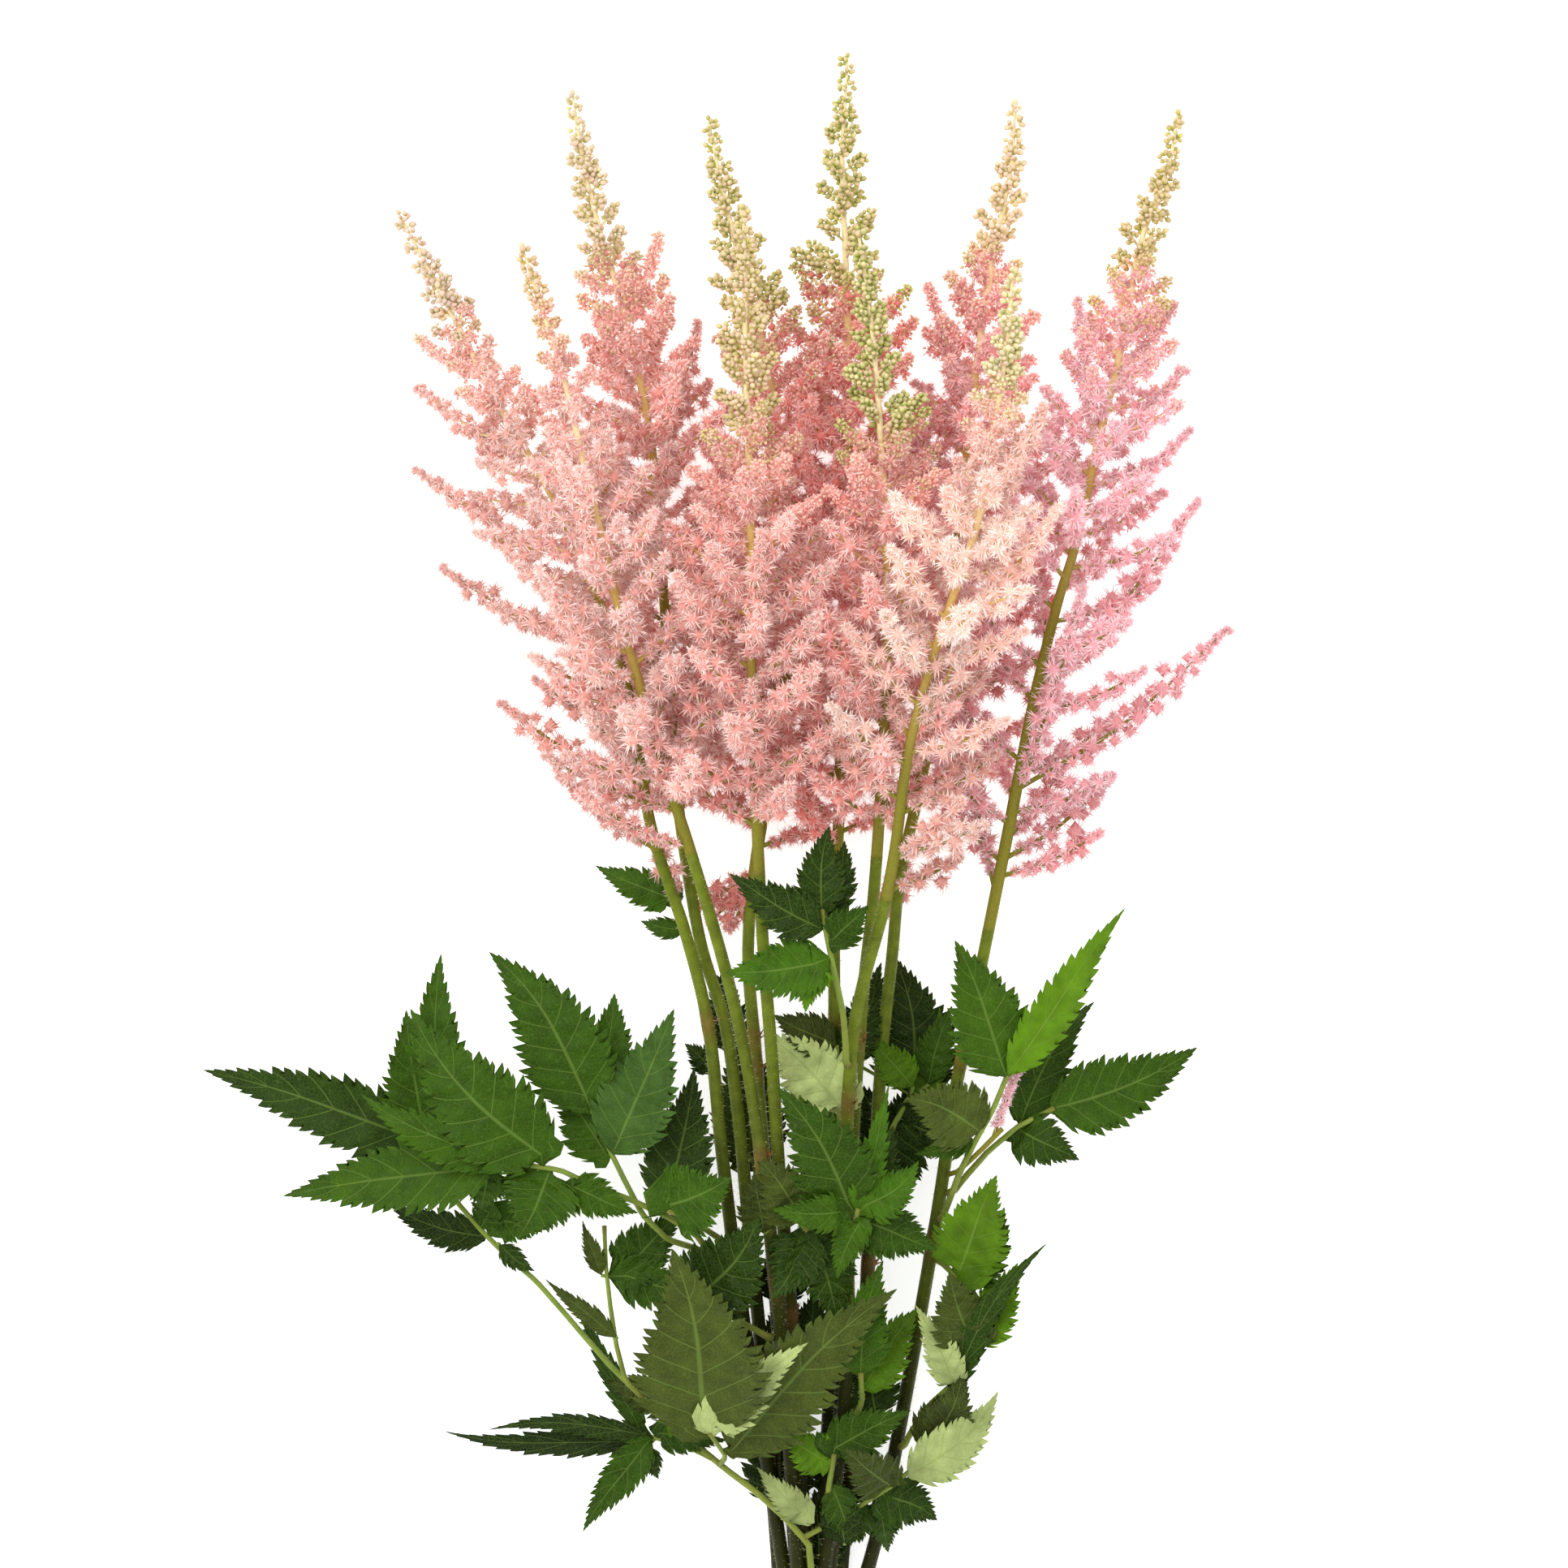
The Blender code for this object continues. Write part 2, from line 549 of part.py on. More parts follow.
def grown_branches(paths, crowd, found):
    """Fills each plume with more side branches, where there is room for them."""
    rng = random.Random(SEED)
    turn = {key: rng.uniform(0.0, 6.28) for key in paths}
    for row in range(ROWS):
        for key, (path, spire_end, plume_end) in paths.items():
            if len(found[key]) >= MOST_BRANCHES:
                continue
            share = (row + 0.5) / ROWS
            distance = spire_end + (plume_end - spire_end - 6.0) * (0.05 + 0.95 * share)
            root = along_path(path, [distance])[0]
            upward = unit(along_path(path, [distance - 5.0])[0] - root)
            length = spread_length(distance) * rng.uniform(0.8, 1.0)
            radius = 4.5 + 3.6 * min(1.0, length / 60.0)
            if 0.75 < share:
                length = length * (1.25 - share) * 2.0
            turn[key] += 2.4
            best = (0.0, None)
            for shift in (0.0, 0.6, -0.6, 1.2, -1.2, 1.8, -1.8, 2.6):
                side, rise = side_vectors(upward)
                angle = turn[key] + shift
                outward = math.cos(angle) * side + math.sin(angle) * rise
                tip = root + unit(outward * 0.8 + upward * 0.62) * length
                reach = free_share(crowd, key, root, tip, radius)
                if reach > best[0] + 0.08:
                    best = (reach, tip)
            if best[0] > 0.0:
                fit_branch(found, crowd, key, root, best[1], radius, 0.35)
    return found


def side_vectors(upward):
    """Two directions square to an axis: one level, and one that rises."""
    side = unit(np.cross(upward, (0.0, 0.0, 1.0)))
    return side, np.cross(side, upward)


def free_share(crowd, key, root, tip, radius):
    """Share of a side branch that fits between the other pieces."""
    for share in (1.0, 0.85, 0.7, 0.55, 0.4):
        end = root + (tip - root) * share
        end[2] = max(end[2], radius * 0.36)
        bend = usual_bend(np.linalg.norm(tip - root) * share)
        if branch_fits(crowd, key, root, end, radius, bend):
            return share
    return 0.0


def spire_branches(key, paths, crowd):
    """Short side clusters that widen the lower half of a bud spire."""
    path, spire_end, _ = paths[key]
    found = []
    rng = random.Random(SEED + ord(key))
    angle = rng.uniform(0.0, 6.28)
    distance = spire_end - 6.0
    while distance > 34.0:
        root = along_path(path, [distance])[0]
        upward = unit(along_path(path, [distance - 4.0])[0] - root)
        side, rise = side_vectors(upward)
        outward = math.cos(angle) * side + math.sin(angle) * rise
        length = spread_length(distance) * rng.uniform(0.85, 1.05)
        radius = 2.6 + 1.6 * min(1.0, length / 30.0)
        tip = root + unit(outward * 0.85 + upward * 0.55) * length
        line, radii = branch_balls(root, tip, radius, np.zeros(3))
        own = ("rachis_" + key, "spire_" + key)
        if crowd.room(line[1:], radii[1:] * BALL_SHARE + GAP, own) > 0.0:
            crowd.add("spire_" + key, line[1:], radii[1:] * BALL_SHARE)
            found.append((root, tip, radius, np.zeros(3)))
        angle += 2.4
        distance -= 14.0
    return found


def blade_spine(base, tip, rng):
    """Rest curve of a leaflet's midrib, with its arch, its bow and its roll."""
    along = tip - base
    length = np.linalg.norm(along)
    across = unit(np.cross((0.0, 0.0, 1.0), along))
    bow = rng.uniform(-0.06, 0.06) * length
    arch = rng.uniform(0.03, 0.09) * length
    shares = np.linspace(0.0, 1.0, 17)
    hump = np.sin(math.pi * shares)
    spine = base + shares[:, None] * along + hump[:, None] * (bow * across)
    spine[:, 2] += arch * hump
    roll = rng.uniform(-0.28, 0.28)
    return spine, roll


def half_width(share, width):
    """Half width of a leaflet at a share of its length."""
    return 0.5 * width * math.sin(math.pi * share ** 0.62) ** 0.85


def blade_grid(spine, width, roll):
    """Sample points over a leaflet, for keeping it clear of others."""
    rows = []
    tangents = np.gradient(spine, axis=0)
    for i, spot in enumerate(spine):
        share = i / (len(spine) - 1)
        across = unit(np.cross((0.0, 0.0, 1.0), tangents[i]))
        reach = half_width(min(0.98, max(0.04, share)), width)
        for part in (-1.0, -0.5, 0.0, 0.5, 1.0):
            point = spot + across * (part * reach)
            point[2] += reach * (abs(part) * BLADE_FOLD + part * math.sin(roll))
            rows.append(point)
    return np.array(rows).reshape(len(spine), 5, 3)


def bend_clear(grid, tops, fixed, margin):
    """Lift or drop for each row of points, so that it passes over or under what is there."""
    count = len(grid)
    lift = np.zeros(count)
    flat = grid.reshape(count, -1, 3)
    centres, radii = tops
    if len(centres) == 0:
        return lift
    away = np.linalg.norm(flat[:, :, None, :2] - centres[None, None, :, :2], axis=3)
    reach = radii[None, None, :] + margin
    near = away < reach
    drop = flat[:, :, None, 2] - centres[None, None, :, 2]
    need = np.sqrt(np.maximum(reach ** 2 - away ** 2, 0.0)) + 0.4
    sign = np.where(drop >= 0.0, 1.0, -1.0)
    for _ in range(BEND_PASSES):
        short = np.where(near, need - sign * (drop + lift[:, None, None]), 0.0)
        short = np.maximum(short, 0.0)
        up = np.where(sign > 0, short, 0.0).max(axis=(1, 2))
        down = np.where(sign < 0, short, 0.0).max(axis=(1, 2))
        change = np.where(up >= down, up, -down)
        change[:fixed] = 0.0
        lift = lift + spread_change(change)
    return lift


def spread_change(change):
    """Carries a lift to the rows beside it, so that the piece bends softly."""
    count = len(change)
    index = np.arange(count)
    fall = np.maximum(0.0, 1.0 - np.abs(index[:, None] - index[None, :]) / 4.0)
    up = (fall * np.maximum(change, 0.0)[None, :]).max(axis=1)
    down = (fall * np.maximum(-change, 0.0)[None, :]).max(axis=1)
    return up - down


def off_the_stem(points, parent, rise):
    """Stalk points that begin at the skin of the parent stem and leave it square."""
    path = parent[0]
    near = np.argmin(np.linalg.norm(path - points[0], axis=1))
    centre = path[near]
    tangent = unit(path[near] - path[min(near + 1, len(path) - 1)])
    towards = points[1] - centre
    radial = unit(towards - tangent * np.dot(towards, tangent))
    radius = stem_radius(path_lengths(path)[-1] - path_lengths(path)[near])
    start = centre + radial * (radius + GAP)
    return [start, start + radial * 2.6 + tangent * rise] + list(points[1:]), radial


def grow_leaf(name, paths, crowd):
    """Stalks and leaflets of one compound leaf, bent clear of what is in the way."""
    parent, stalks, leaflets = LEAVES[name]
    rng = random.Random(name)
    lines = []
    for i, points in enumerate(stalks):
        spots = [seen(p) for p in points]
        radial = None
        if i == 0:
            spots, radial = off_the_stem(spots, paths[parent], 0.6)
        path = smooth_path(spots, 4.0)
        radius = STALK_RADIUS if i == 0 else SUBSTALK_RADIUS
        others = crowd.owners != crowd.owner(name)
        far = others & (np.linalg.norm(crowd.centres - path[0], axis=1) > 9.0)
        tops = (crowd.centres[far], crowd.radii[far])
        lift = bend_clear(path[:, None, :], tops, 2, radius + 1.0)
        lift[0] = 0.0
        path[:, 2] = np.maximum(path[:, 2] + lift, radius + 0.3)
        if i > 0:
            trunk = lines[0][4]
            near = np.argmin(np.linalg.norm(trunk[:, :2] - path[0, :2], axis=1))
            share = np.linspace(1.0, 0.0, len(path))[:, None] ** 2
            path = path + (trunk[near] - path[0]) * share
        run = path_lengths(path)
        head = [0.0, 2.2, 10.0] if i == 0 else [0.0, 10.0]
        stops = np.concatenate([head, np.arange(25.0, run[-1] - 8.0, 15.0), [run[-1]]])
        spots = along_path(path, stops)
        fine = along_path(spots, np.linspace(0.0, path_lengths(spots)[-1], len(path)))
        lines.append((spots, radius, radial, lift, fine))
        crowd.add(name, fine, radius)
    blades = []
    for base, tip, width in leaflets:
        blades.append(grow_leaflet(name, crowd, lines, seen(base), seen(tip), width, rng))
    return lines, blades


def grow_leaflet(name, crowd, lines, base, tip, width, rng):
    """One leaflet, from the nearest point of its stalks to its tip."""
    spots = np.vstack([line[4][1:-1] for line in lines])
    lifts = np.concatenate([line[3][1:-1] for line in lines])
    near = np.argmin(np.linalg.norm(spots - base, axis=1))
    root = spots[near]
    base[2] = root[2] + np.clip(base[2] + lifts[near] - root[2], -4.0, 4.0)
    forward = unit(tip - base)
    base = base + forward * max(0.0, 1.5 - np.dot(base - root, forward))
    spine, roll = blade_spine(base, tip, rng)
    grid = blade_grid(spine, width, roll)
    far = np.linalg.norm(crowd.centres - base, axis=1) > 7.0
    tops = (crowd.centres[far], crowd.radii[far])
    lift = bend_clear(grid, tops, 1, 1.5)
    spine[:, 2] += lift
    lowest = grid[:, :, 2].min(axis=1) + lift
    spine[:, 2] += np.maximum(0.0, 1.0 - lowest)
    grid = blade_grid(spine, width, roll)
    crowd.add(name, grid[1:].reshape(-1, 3), 0.8)
    return root, spine, width, roll


def blade_solid(blade):
    """Closed thin blade of a leaflet with teeth, folded a little along its midrib."""
    root, spine, width, roll = blade
    teeth = TEETH_LARGE if width >= 30 else TEETH_MIDDLE if width >= 21 else TEETH_SMALL
    shares = np.linspace(0.0, 1.0, len(spine))
    tangents = np.gradient(spine, axis=0)

    def place(share, reach):
        spot = np.array([np.interp(share, shares, spine[:, k]) for k in range(3)])
        along = np.array([np.interp(share, shares, tangents[:, k]) for k in range(3)])
        across = unit(np.cross((0.0, 0.0, 1.0), along))
        spot = spot + across * reach
        spot[2] += abs(reach) * BLADE_FOLD + reach * math.sin(roll)
        return spot

    rows = []
    for share, part in teeth:
        reach = 0.5 * width * part
        notch = max(0.03, share - NOTCH_BACK)
        inner = reach * (NOTCH_SHARE if share > teeth[0][0] else ROUND_BASE)
        rows.append((notch, inner, share, reach))
    top = []
    outline = []
    middle = []
    top.append(root + np.array((0.0, 0.0, 0.5 * BLADE_THICKNESS)))
    faces = []
    left_last = 0
    right_last = 0
    outline_left = []
    outline_right = []
    middle_last = None
    for notch, inner, share, reach in rows:
        index = len(top)
        top.append(place(notch, 0.0))
        top.append(place(notch, inner))
        top.append(place(notch, -inner))
        top.append(place(share, reach))
        top.append(place(share, -reach))
        if middle_last is None:
            faces.append((0, index, index + 1))
            faces.append((0, index + 2, index))
        else:
            faces.append((left_last, middle_last, index + 1))
            faces.append((middle_last, index, index + 1))
            faces.append((right_last, index + 2, middle_last))
            faces.append((middle_last, index + 2, index))
        faces.append((index, index + 3, index + 1))
        faces.append((index, index + 2, index + 4))
        left_last = index + 3
        right_last = index + 4
        outline_left += [index + 1, index + 3]
        outline_right += [index + 2, index + 4]
        middle_last = index
    tip = len(top)
    top.append(spine[-1])
    faces.append((middle_last, tip, left_last))
    faces.append((middle_last, right_last, tip))
    loop = [0] + outline_right + [tip] + outline_left[::-1]
    top = np.array(top)
    count = len(top)
    low = top - np.array((0.0, 0.0, BLADE_THICKNESS))
    solid = list(faces)
    for a, b, c in faces:
        solid.append((a + count, c + count, b + count))
    for i in range(len(loop)):
        a = loop[i]
        b = loop[(i + 1) % len(loop)]
        solid.append((b, a, a + count))
        solid.append((b, a + count, b + count))
    return np.vstack([top, low]), solid


def make_material(name):
    """Principled material with the colour and the roughness of one kind of piece."""
    colour, rough = MATERIALS[name]
    material = bpy.data.materials.new(name)
    material.use_nodes = True
    shader = material.node_tree.nodes["Principled BSDF"]
    shader.inputs["Base Color"].default_value = colour
    shader.inputs["Roughness"].default_value = rough
    shader.inputs["Metallic"].default_value = 0.0
    material.diffuse_color = colour
    return material


def mesh_object(name, solid, material):
    """Object from the points, in millimetres, and the faces of one closed solid."""
    verts, faces = solid
    mesh = bpy.data.meshes.new(name)
    mesh.from_pydata((np.array(verts) * UNIT).tolist(), [], [tuple(f) for f in faces])
    mesh.materials.append(material)
    item = bpy.data.objects.new(name, mesh)
    bpy.context.scene.collection.objects.link(item)
    return item


def fused(name, solids, material):
    """One object from several solids that sink into the first, joined by a Boolean."""
    main = mesh_object(name, solids[0], material)
    if len(solids) == 1:
        return main
    group = bpy.data.collections.new(name + "_parts")
    bpy.context.scene.collection.children.link(group)
    for i, solid in enumerate(solids[1:]):
        part = mesh_object(f"{name}_part_{i}", solid, material)
        bpy.context.scene.collection.objects.unlink(part)
        group.objects.link(part)
    union = main.modifiers.new("join", "BOOLEAN")
    union.operation = "UNION"
    union.operand_type = "COLLECTION"
    union.collection = group
    union.solver = "MANIFOLD"
    graph = bpy.context.evaluated_depsgraph_get()
    joined = bpy.data.meshes.new_from_object(main.evaluated_get(graph))
    main.modifiers.clear()
    keep_largest_shell(joined)
    main.data = joined
    joined.name = name
    for part in list(group.objects):
        bpy.data.objects.remove(part)
    bpy.data.collections.remove(group)
    return main


def keep_largest_shell(mesh):
    """Fills the small hollows that joining seals, by removing their inner skins."""
    form = bmesh.new()
    form.from_mesh(mesh)
    left = set(form.verts)
    shells = []
    while left:
        shell = [left.pop()]
        for vert in shell:
            for edge in vert.link_edges:
                other = edge.other_vert(vert)
                if other in left:
                    left.remove(other)
                    shell.append(other)
        shells.append(shell)
    shells.sort(key=len)
    for shell in shells[:-1]:
        bmesh.ops.delete(form, geom=shell, context="VERTS")
    form.to_mesh(mesh)
    form.free()


def build_stem(key, paths, material):
    """Green lower stem, from its cut end to where its plume begins."""
    path, _, plume_end = paths[key]
    total = path_lengths(path)[-1]
    bare = np.linspace(total - HEEL_LENGTH, plume_end + 0.5 * GAP, STEM_RINGS - 1)
    stops = np.concatenate([[total], bare])
    spots = along_path(path, stops)
    radii = [stem_radius(total - stop) for stop in stops]
    verts, faces = ring_solid(spots, radii, 6)
    return mesh_object("stem_" + key, (on_the_table(verts), faces), material)


def branch_solid(branch, sides):
    """Side branch as a cob of raised florets."""
    root, tip, radius, bend = branch
    path = branch_path(root, tip, bend)
    total = path_lengths(path)[-1]
    places, radii = branch_profile(total, radius)
    verts, faces = cob_solid(path, places, radii, sides)
    return on_the_table(verts, PRESSED_BAND), faces


def core_radius(share, base):
    """Radius of the florets close round a plume's axis, from its base up to its spire."""
    return np.interp(share, (0.0, 0.14, 0.4, 0.8, 1.0), (base, base, CORE_RADIUS, 5.4, 2.2))


def build_plume(key, paths, branches, material):
    """Pink plume: its axis, the florets close round it and every side branch."""
    path, spire_end, plume_end = paths[key]
    shares = np.array((0.0, 0.14, 0.32, 0.48, 0.64, 0.8, 1.0))
    ends = (plume_end - 0.5 * GAP, spire_end + 0.5 * GAP)
    stops = ends[0] + shares * (ends[1] - ends[0])
    base = stem_radius(path_lengths(path)[-1] - plume_end)
    radii = core_radius(shares, base)
    solids = [ring_solid(along_path(path, stops), radii, 6, bump=BUMP)]
    for branch in branches:
        solids.append(branch_solid(branch, 6))
    return fused("plume_" + key, solids, material)


def spire_outline(distance):
    """Radius of the buds round the axis of a spire, by distance from the tip."""
    return min(5.0, 2.0 + 0.05 * distance)


def build_spire(key, paths, branches, material):
    """Bud spire: a knobbly tapered head with short side clusters low down."""
    path, spire_end, _ = paths[key]
    length = spire_end - 0.5 * GAP
    count = max(6, int(length / 10.0))
    stops = np.concatenate([[length, length - 1.5], np.linspace(length - 5.0, 0.0, count)])
    radii = [1.4, 1.6] + [spire_outline(stop) for stop in stops[2:-1]] + [0.8]
    solids = [ring_solid(along_path(path, stops), radii, 6, bump=0.25)]
    for branch in branches:
        solids.append(branch_solid(branch, 5))
    return fused("bud_spire_" + key, solids, material)


def build_leaf(name, leaf, material):
    """Compound leaf: stalks and toothed leaflets joined in one solid."""
    lines, blades = leaf
    solids = []
    for spots, radius, radial, _, _ in lines:
        taper = np.linspace(radius, radius * 0.75, len(spots))
        solids.append(ring_solid(spots, taper, 4, start_normal=radial))
    for blade in blades:
        solids.append(blade_solid(blade))
    return fused(name, solids, material)


def build_low_spray(paths, material):
    """Small spray of florets on its own stalk, low among the leaves."""
    parent, points, tip, radius = LOW_SPRAY
    spots, radial = off_the_stem([seen(p) for p in points], paths[parent], 0.6)
    stalk = smooth_path(spots, 6.0)
    solids = [ring_solid(stalk, np.full(len(stalk), 1.0), 4, start_normal=radial)]
    line = smooth_path([stalk[-2], (stalk[-2] + seen(tip)) * 0.5, seen(tip)])
    places, radii = branch_profile(path_lengths(line)[-1], radius)
    solids.append(cob_solid(line, places, radii, 6))
    return fused("low_spray", solids, material)


def clear_scene():
    """Removes whatever the file holds at the start."""
    for item in list(bpy.data.objects):
        bpy.data.objects.remove(item, do_unlink=True)


def take_axes(paths, crowd):
    """Books the space of every stem, axis and spire core."""
    for key, (path, spire_end, plume_end) in paths.items():
        run = path_lengths(path)
        total = run[-1]
        bare = run > plume_end
        inside = (run > spire_end) & ~bare
        radii = np.array([stem_radius(total - stop) for stop in run])
        crowd.add("stem_" + key, path[bare], radii[bare])
        shares = (plume_end - run[inside]) / (plume_end - spire_end)
        crowd.add("rachis_" + key, path[inside], core_radius(shares, 2.6) * BALL_SHARE)
        spire = run <= spire_end
        heads = np.array([spire_outline(stop) for stop in run[spire]]) * 1.25
        crowd.add("spire_" + key, path[spire], heads)


def main():
    """Builds every piece of the bunch."""
    clear_scene()
    paths = stem_paths()
    crowd = Crowd()
    take_axes(paths, crowd)
    leaves = {name: grow_leaf(name, paths, crowd) for name in LEAVES}
    spires = {key: spire_branches(key, paths, crowd) for key in paths}
    plumes = {key: [] for key in paths}
    placed_branches(paths, crowd, plumes, REST_BRANCHES, REST_DROP)
    placed_branches(paths, crowd, plumes, PLACED_BRANCHES)
    grown_branches(paths, crowd, plumes)
    stem_green = make_material("stem_green")
    floret_pink = make_material("floret_pink")
    bud_green = make_material("bud_green")
    leaf_green = make_material("leaf_green")
    for key in paths:
        build_stem(key, paths, stem_green)
        build_plume(key, paths, plumes[key], floret_pink)
        build_spire(key, paths, spires[key], bud_green)
    for name, leaf in leaves.items():
        build_leaf(name, leaf, leaf_green)
    build_low_spray(paths, floret_pink)


main()
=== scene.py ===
"""Looks of the bunch of ten cut astilbe stems, seen from straight above.

The layout of stems, side branches and leaves follows the solids, in millimetres.
Buds, florets and toothed blades are made here on that layout, and replace the solids.
"""
import math
import random

import bpy
import numpy as np
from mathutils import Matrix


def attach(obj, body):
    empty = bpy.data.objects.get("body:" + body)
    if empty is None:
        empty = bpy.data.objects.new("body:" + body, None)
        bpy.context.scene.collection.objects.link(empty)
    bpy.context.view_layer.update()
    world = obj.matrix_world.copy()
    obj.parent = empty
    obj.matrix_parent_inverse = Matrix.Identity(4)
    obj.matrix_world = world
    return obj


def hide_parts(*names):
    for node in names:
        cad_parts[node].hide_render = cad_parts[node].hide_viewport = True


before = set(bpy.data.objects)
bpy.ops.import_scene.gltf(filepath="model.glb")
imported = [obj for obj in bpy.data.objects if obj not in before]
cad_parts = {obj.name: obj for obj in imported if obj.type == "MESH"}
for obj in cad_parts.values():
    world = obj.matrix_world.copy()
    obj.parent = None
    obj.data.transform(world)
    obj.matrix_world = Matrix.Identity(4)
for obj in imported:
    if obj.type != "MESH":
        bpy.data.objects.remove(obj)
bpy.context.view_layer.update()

# Layout, repeated from the solids
UNIT = 0.001
EYE_HEIGHT = 1734.0
PLANE_HEIGHT = 70.0
VIEW_X = 26.7
VIEW_Y = 19.8
CENTRE_X = -1.3
CENTRE_Y = -6.2
GAP = 0.35
STEM_RADIUS = 2.8
STEM_TAPER = 0.0022
HEEL_RADIUS = 0.6
HEEL_LENGTH = 25.0
CORE_RADIUS = 6.4
STALK_RADIUS = 1.5
SUBSTALK_RADIUS = 1.2
BLADE_FOLD = 0.18
BEND_PASSES = 4
PATH_STEP = 2.0
NEAR = 22.0
CORE = 16.0
PRESS = 0.6
SAG = 0.06
BALL_SHARE = 1.32
ROWS = 12
MOST_BRANCHES = 10
SEED = 11

# Where each spire ends and each plume ends, as heights up the picture
SPIRE_ENDS = {"a": 195, "b": 217, "c": 195, "d": 150, "e": 205, "f": 148, "g": 220,
              "h": 171, "i": 214, "j": 200}
PLUME_ENDS = {"a": -6, "b": -6, "c": -20, "d": -14, "e": -22, "f": -8, "g": -8,
              "h": -24, "i": -36, "j": -6}

# Points of each stem from its tip down to its cut end
STEM_LINES = {
    "a": [(-120, 237, 78), (-102, 203, 79), (-84, 168, 80), (-62, 130, 80), (-45, 93, 78),
          (-33, 56, 74), (-24, 3, 66), (-11, -37, 58), (-2, -74, 51), (3, -121, 43), (10, -177, 33),
          (19, -232, 23), (29.5, -298, 9.2)],
    "b": [(-54, 283, 52), (-49, 253, 52), (-42, 226, 51), (-35, 202, 50), (-25, 157, 46),
          (-21, 118, 43), (-18, 71, 41), (-15, 22, 42), (-6, -37, 47), (4, -71, 45), (9, -105, 40),
          (13, -146, 33), (19, -208, 21), (26.1, -298, 2.9)],
    "c": [(-2, 273, 60), (2, 253, 60), (6, 236, 60), (11, 214, 59), (19, 186, 56), (25, 152, 51),
          (29, 115, 47), (29, 71, 43), (23, 31, 41), (16, -9, 41), (13, -43, 41), (15, -74, 39),
          (19, -121, 34), (24, -183, 24), (33, -298, 2.9)],
    "d": [(11, 239, 100), (12, 214, 104), (12, 188, 108), (13, 153, 112), (14, 121, 114),
          (14, 84, 113), (15, 40, 105), (17, -9, 88), (19, -46, 76), (22, -84, 64), (25, -130, 51),
          (30, -192, 37), (36.4, -298, 9.2)],
    "e": [(51, 297, 58), (50, 279, 58), (49, 260, 58), (50, 229, 57), (51, 198, 55), (51, 158, 50),
          (50, 115, 45), (49, 65, 41), (48, 16, 40), (46, -31, 41), (46, -78, 40), (46, -124, 35),
          (45, -192, 23), (39.9, -298, 2.9)],
    "f": [(55, 231, 98), (59, 205, 101), (62, 177, 103), (64, 146, 104), (66, 108, 102),
          (66, 65, 96), (64, 22, 84), (61, -22, 70), (57, -59, 60), (54, -99, 51), (52, -146, 42),
          (49, -208, 29), (43.3, -298, 9.2)],
    "g": [(115, 279, 62), (114, 260, 62), (111, 242, 62), (107, 223, 61), (104, 205, 60),
          (100, 177, 57), (96, 140, 52), (92, 99, 47), (86, 56, 42), (78, 16, 42), (71, -16, 43),
          (68, -46, 43), (64, -84, 41), (61, -130, 35), (56, -202, 23), (46.8, -298, 2.9)],
    "h": [(114, 215, 112), (113, 195, 116), (110, 174, 120), (106, 146, 124), (101, 121, 125),
          (94, 99, 124), (87, 79, 121), (81, 59, 116), (74, 31, 107), (69, -6, 94), (64, -31, 85),
          (57, -56, 76), (53, -78, 69), (51, -108, 60), (51, -152, 49), (50, -214, 35),
          (39.9, -298, 15.5)],
    "i": [(177, 275, 84), (174, 257, 84), (168, 241, 84), (162, 223, 84), (159, 205, 84),
          (154, 180, 83), (146, 147, 82), (138, 111, 79), (131, 88, 77), (122, 51, 72),
          (113, 5, 62), (102, -50, 51), (93, -93, 43), (87, -133, 37), (81, -170, 30),
          (72, -220, 20), (64, -260, 11), (53.7, -298, 2.9)],
    "j": [(-73, 224, 105), (-66, 202, 108), (-59, 181, 110), (-53, 156, 112), (-47, 131, 112),
          (-40, 102, 110), (-35, 81, 107), (-28, 56, 101), (-20, 28, 92), (-9, -6, 80),
          (4, -50, 68), (13, -90, 57), (20, -140, 56), (27, -208, 42), (33, -298, 15.5)],
}

# How far the branches that the bunch rests on hang down in their middle
REST_DROP = 16.0

# Side branches that the bunch rests on: level of the root, tip, and radius
REST_BRANCHES = {
    "b": [(60, (-38, 104, 3.0), 8.0)],
    "e": [(96, (40, 140, 3.0), 8.0)],
    "g": [(50, (118, 98, 3.0), 8.0)],
}

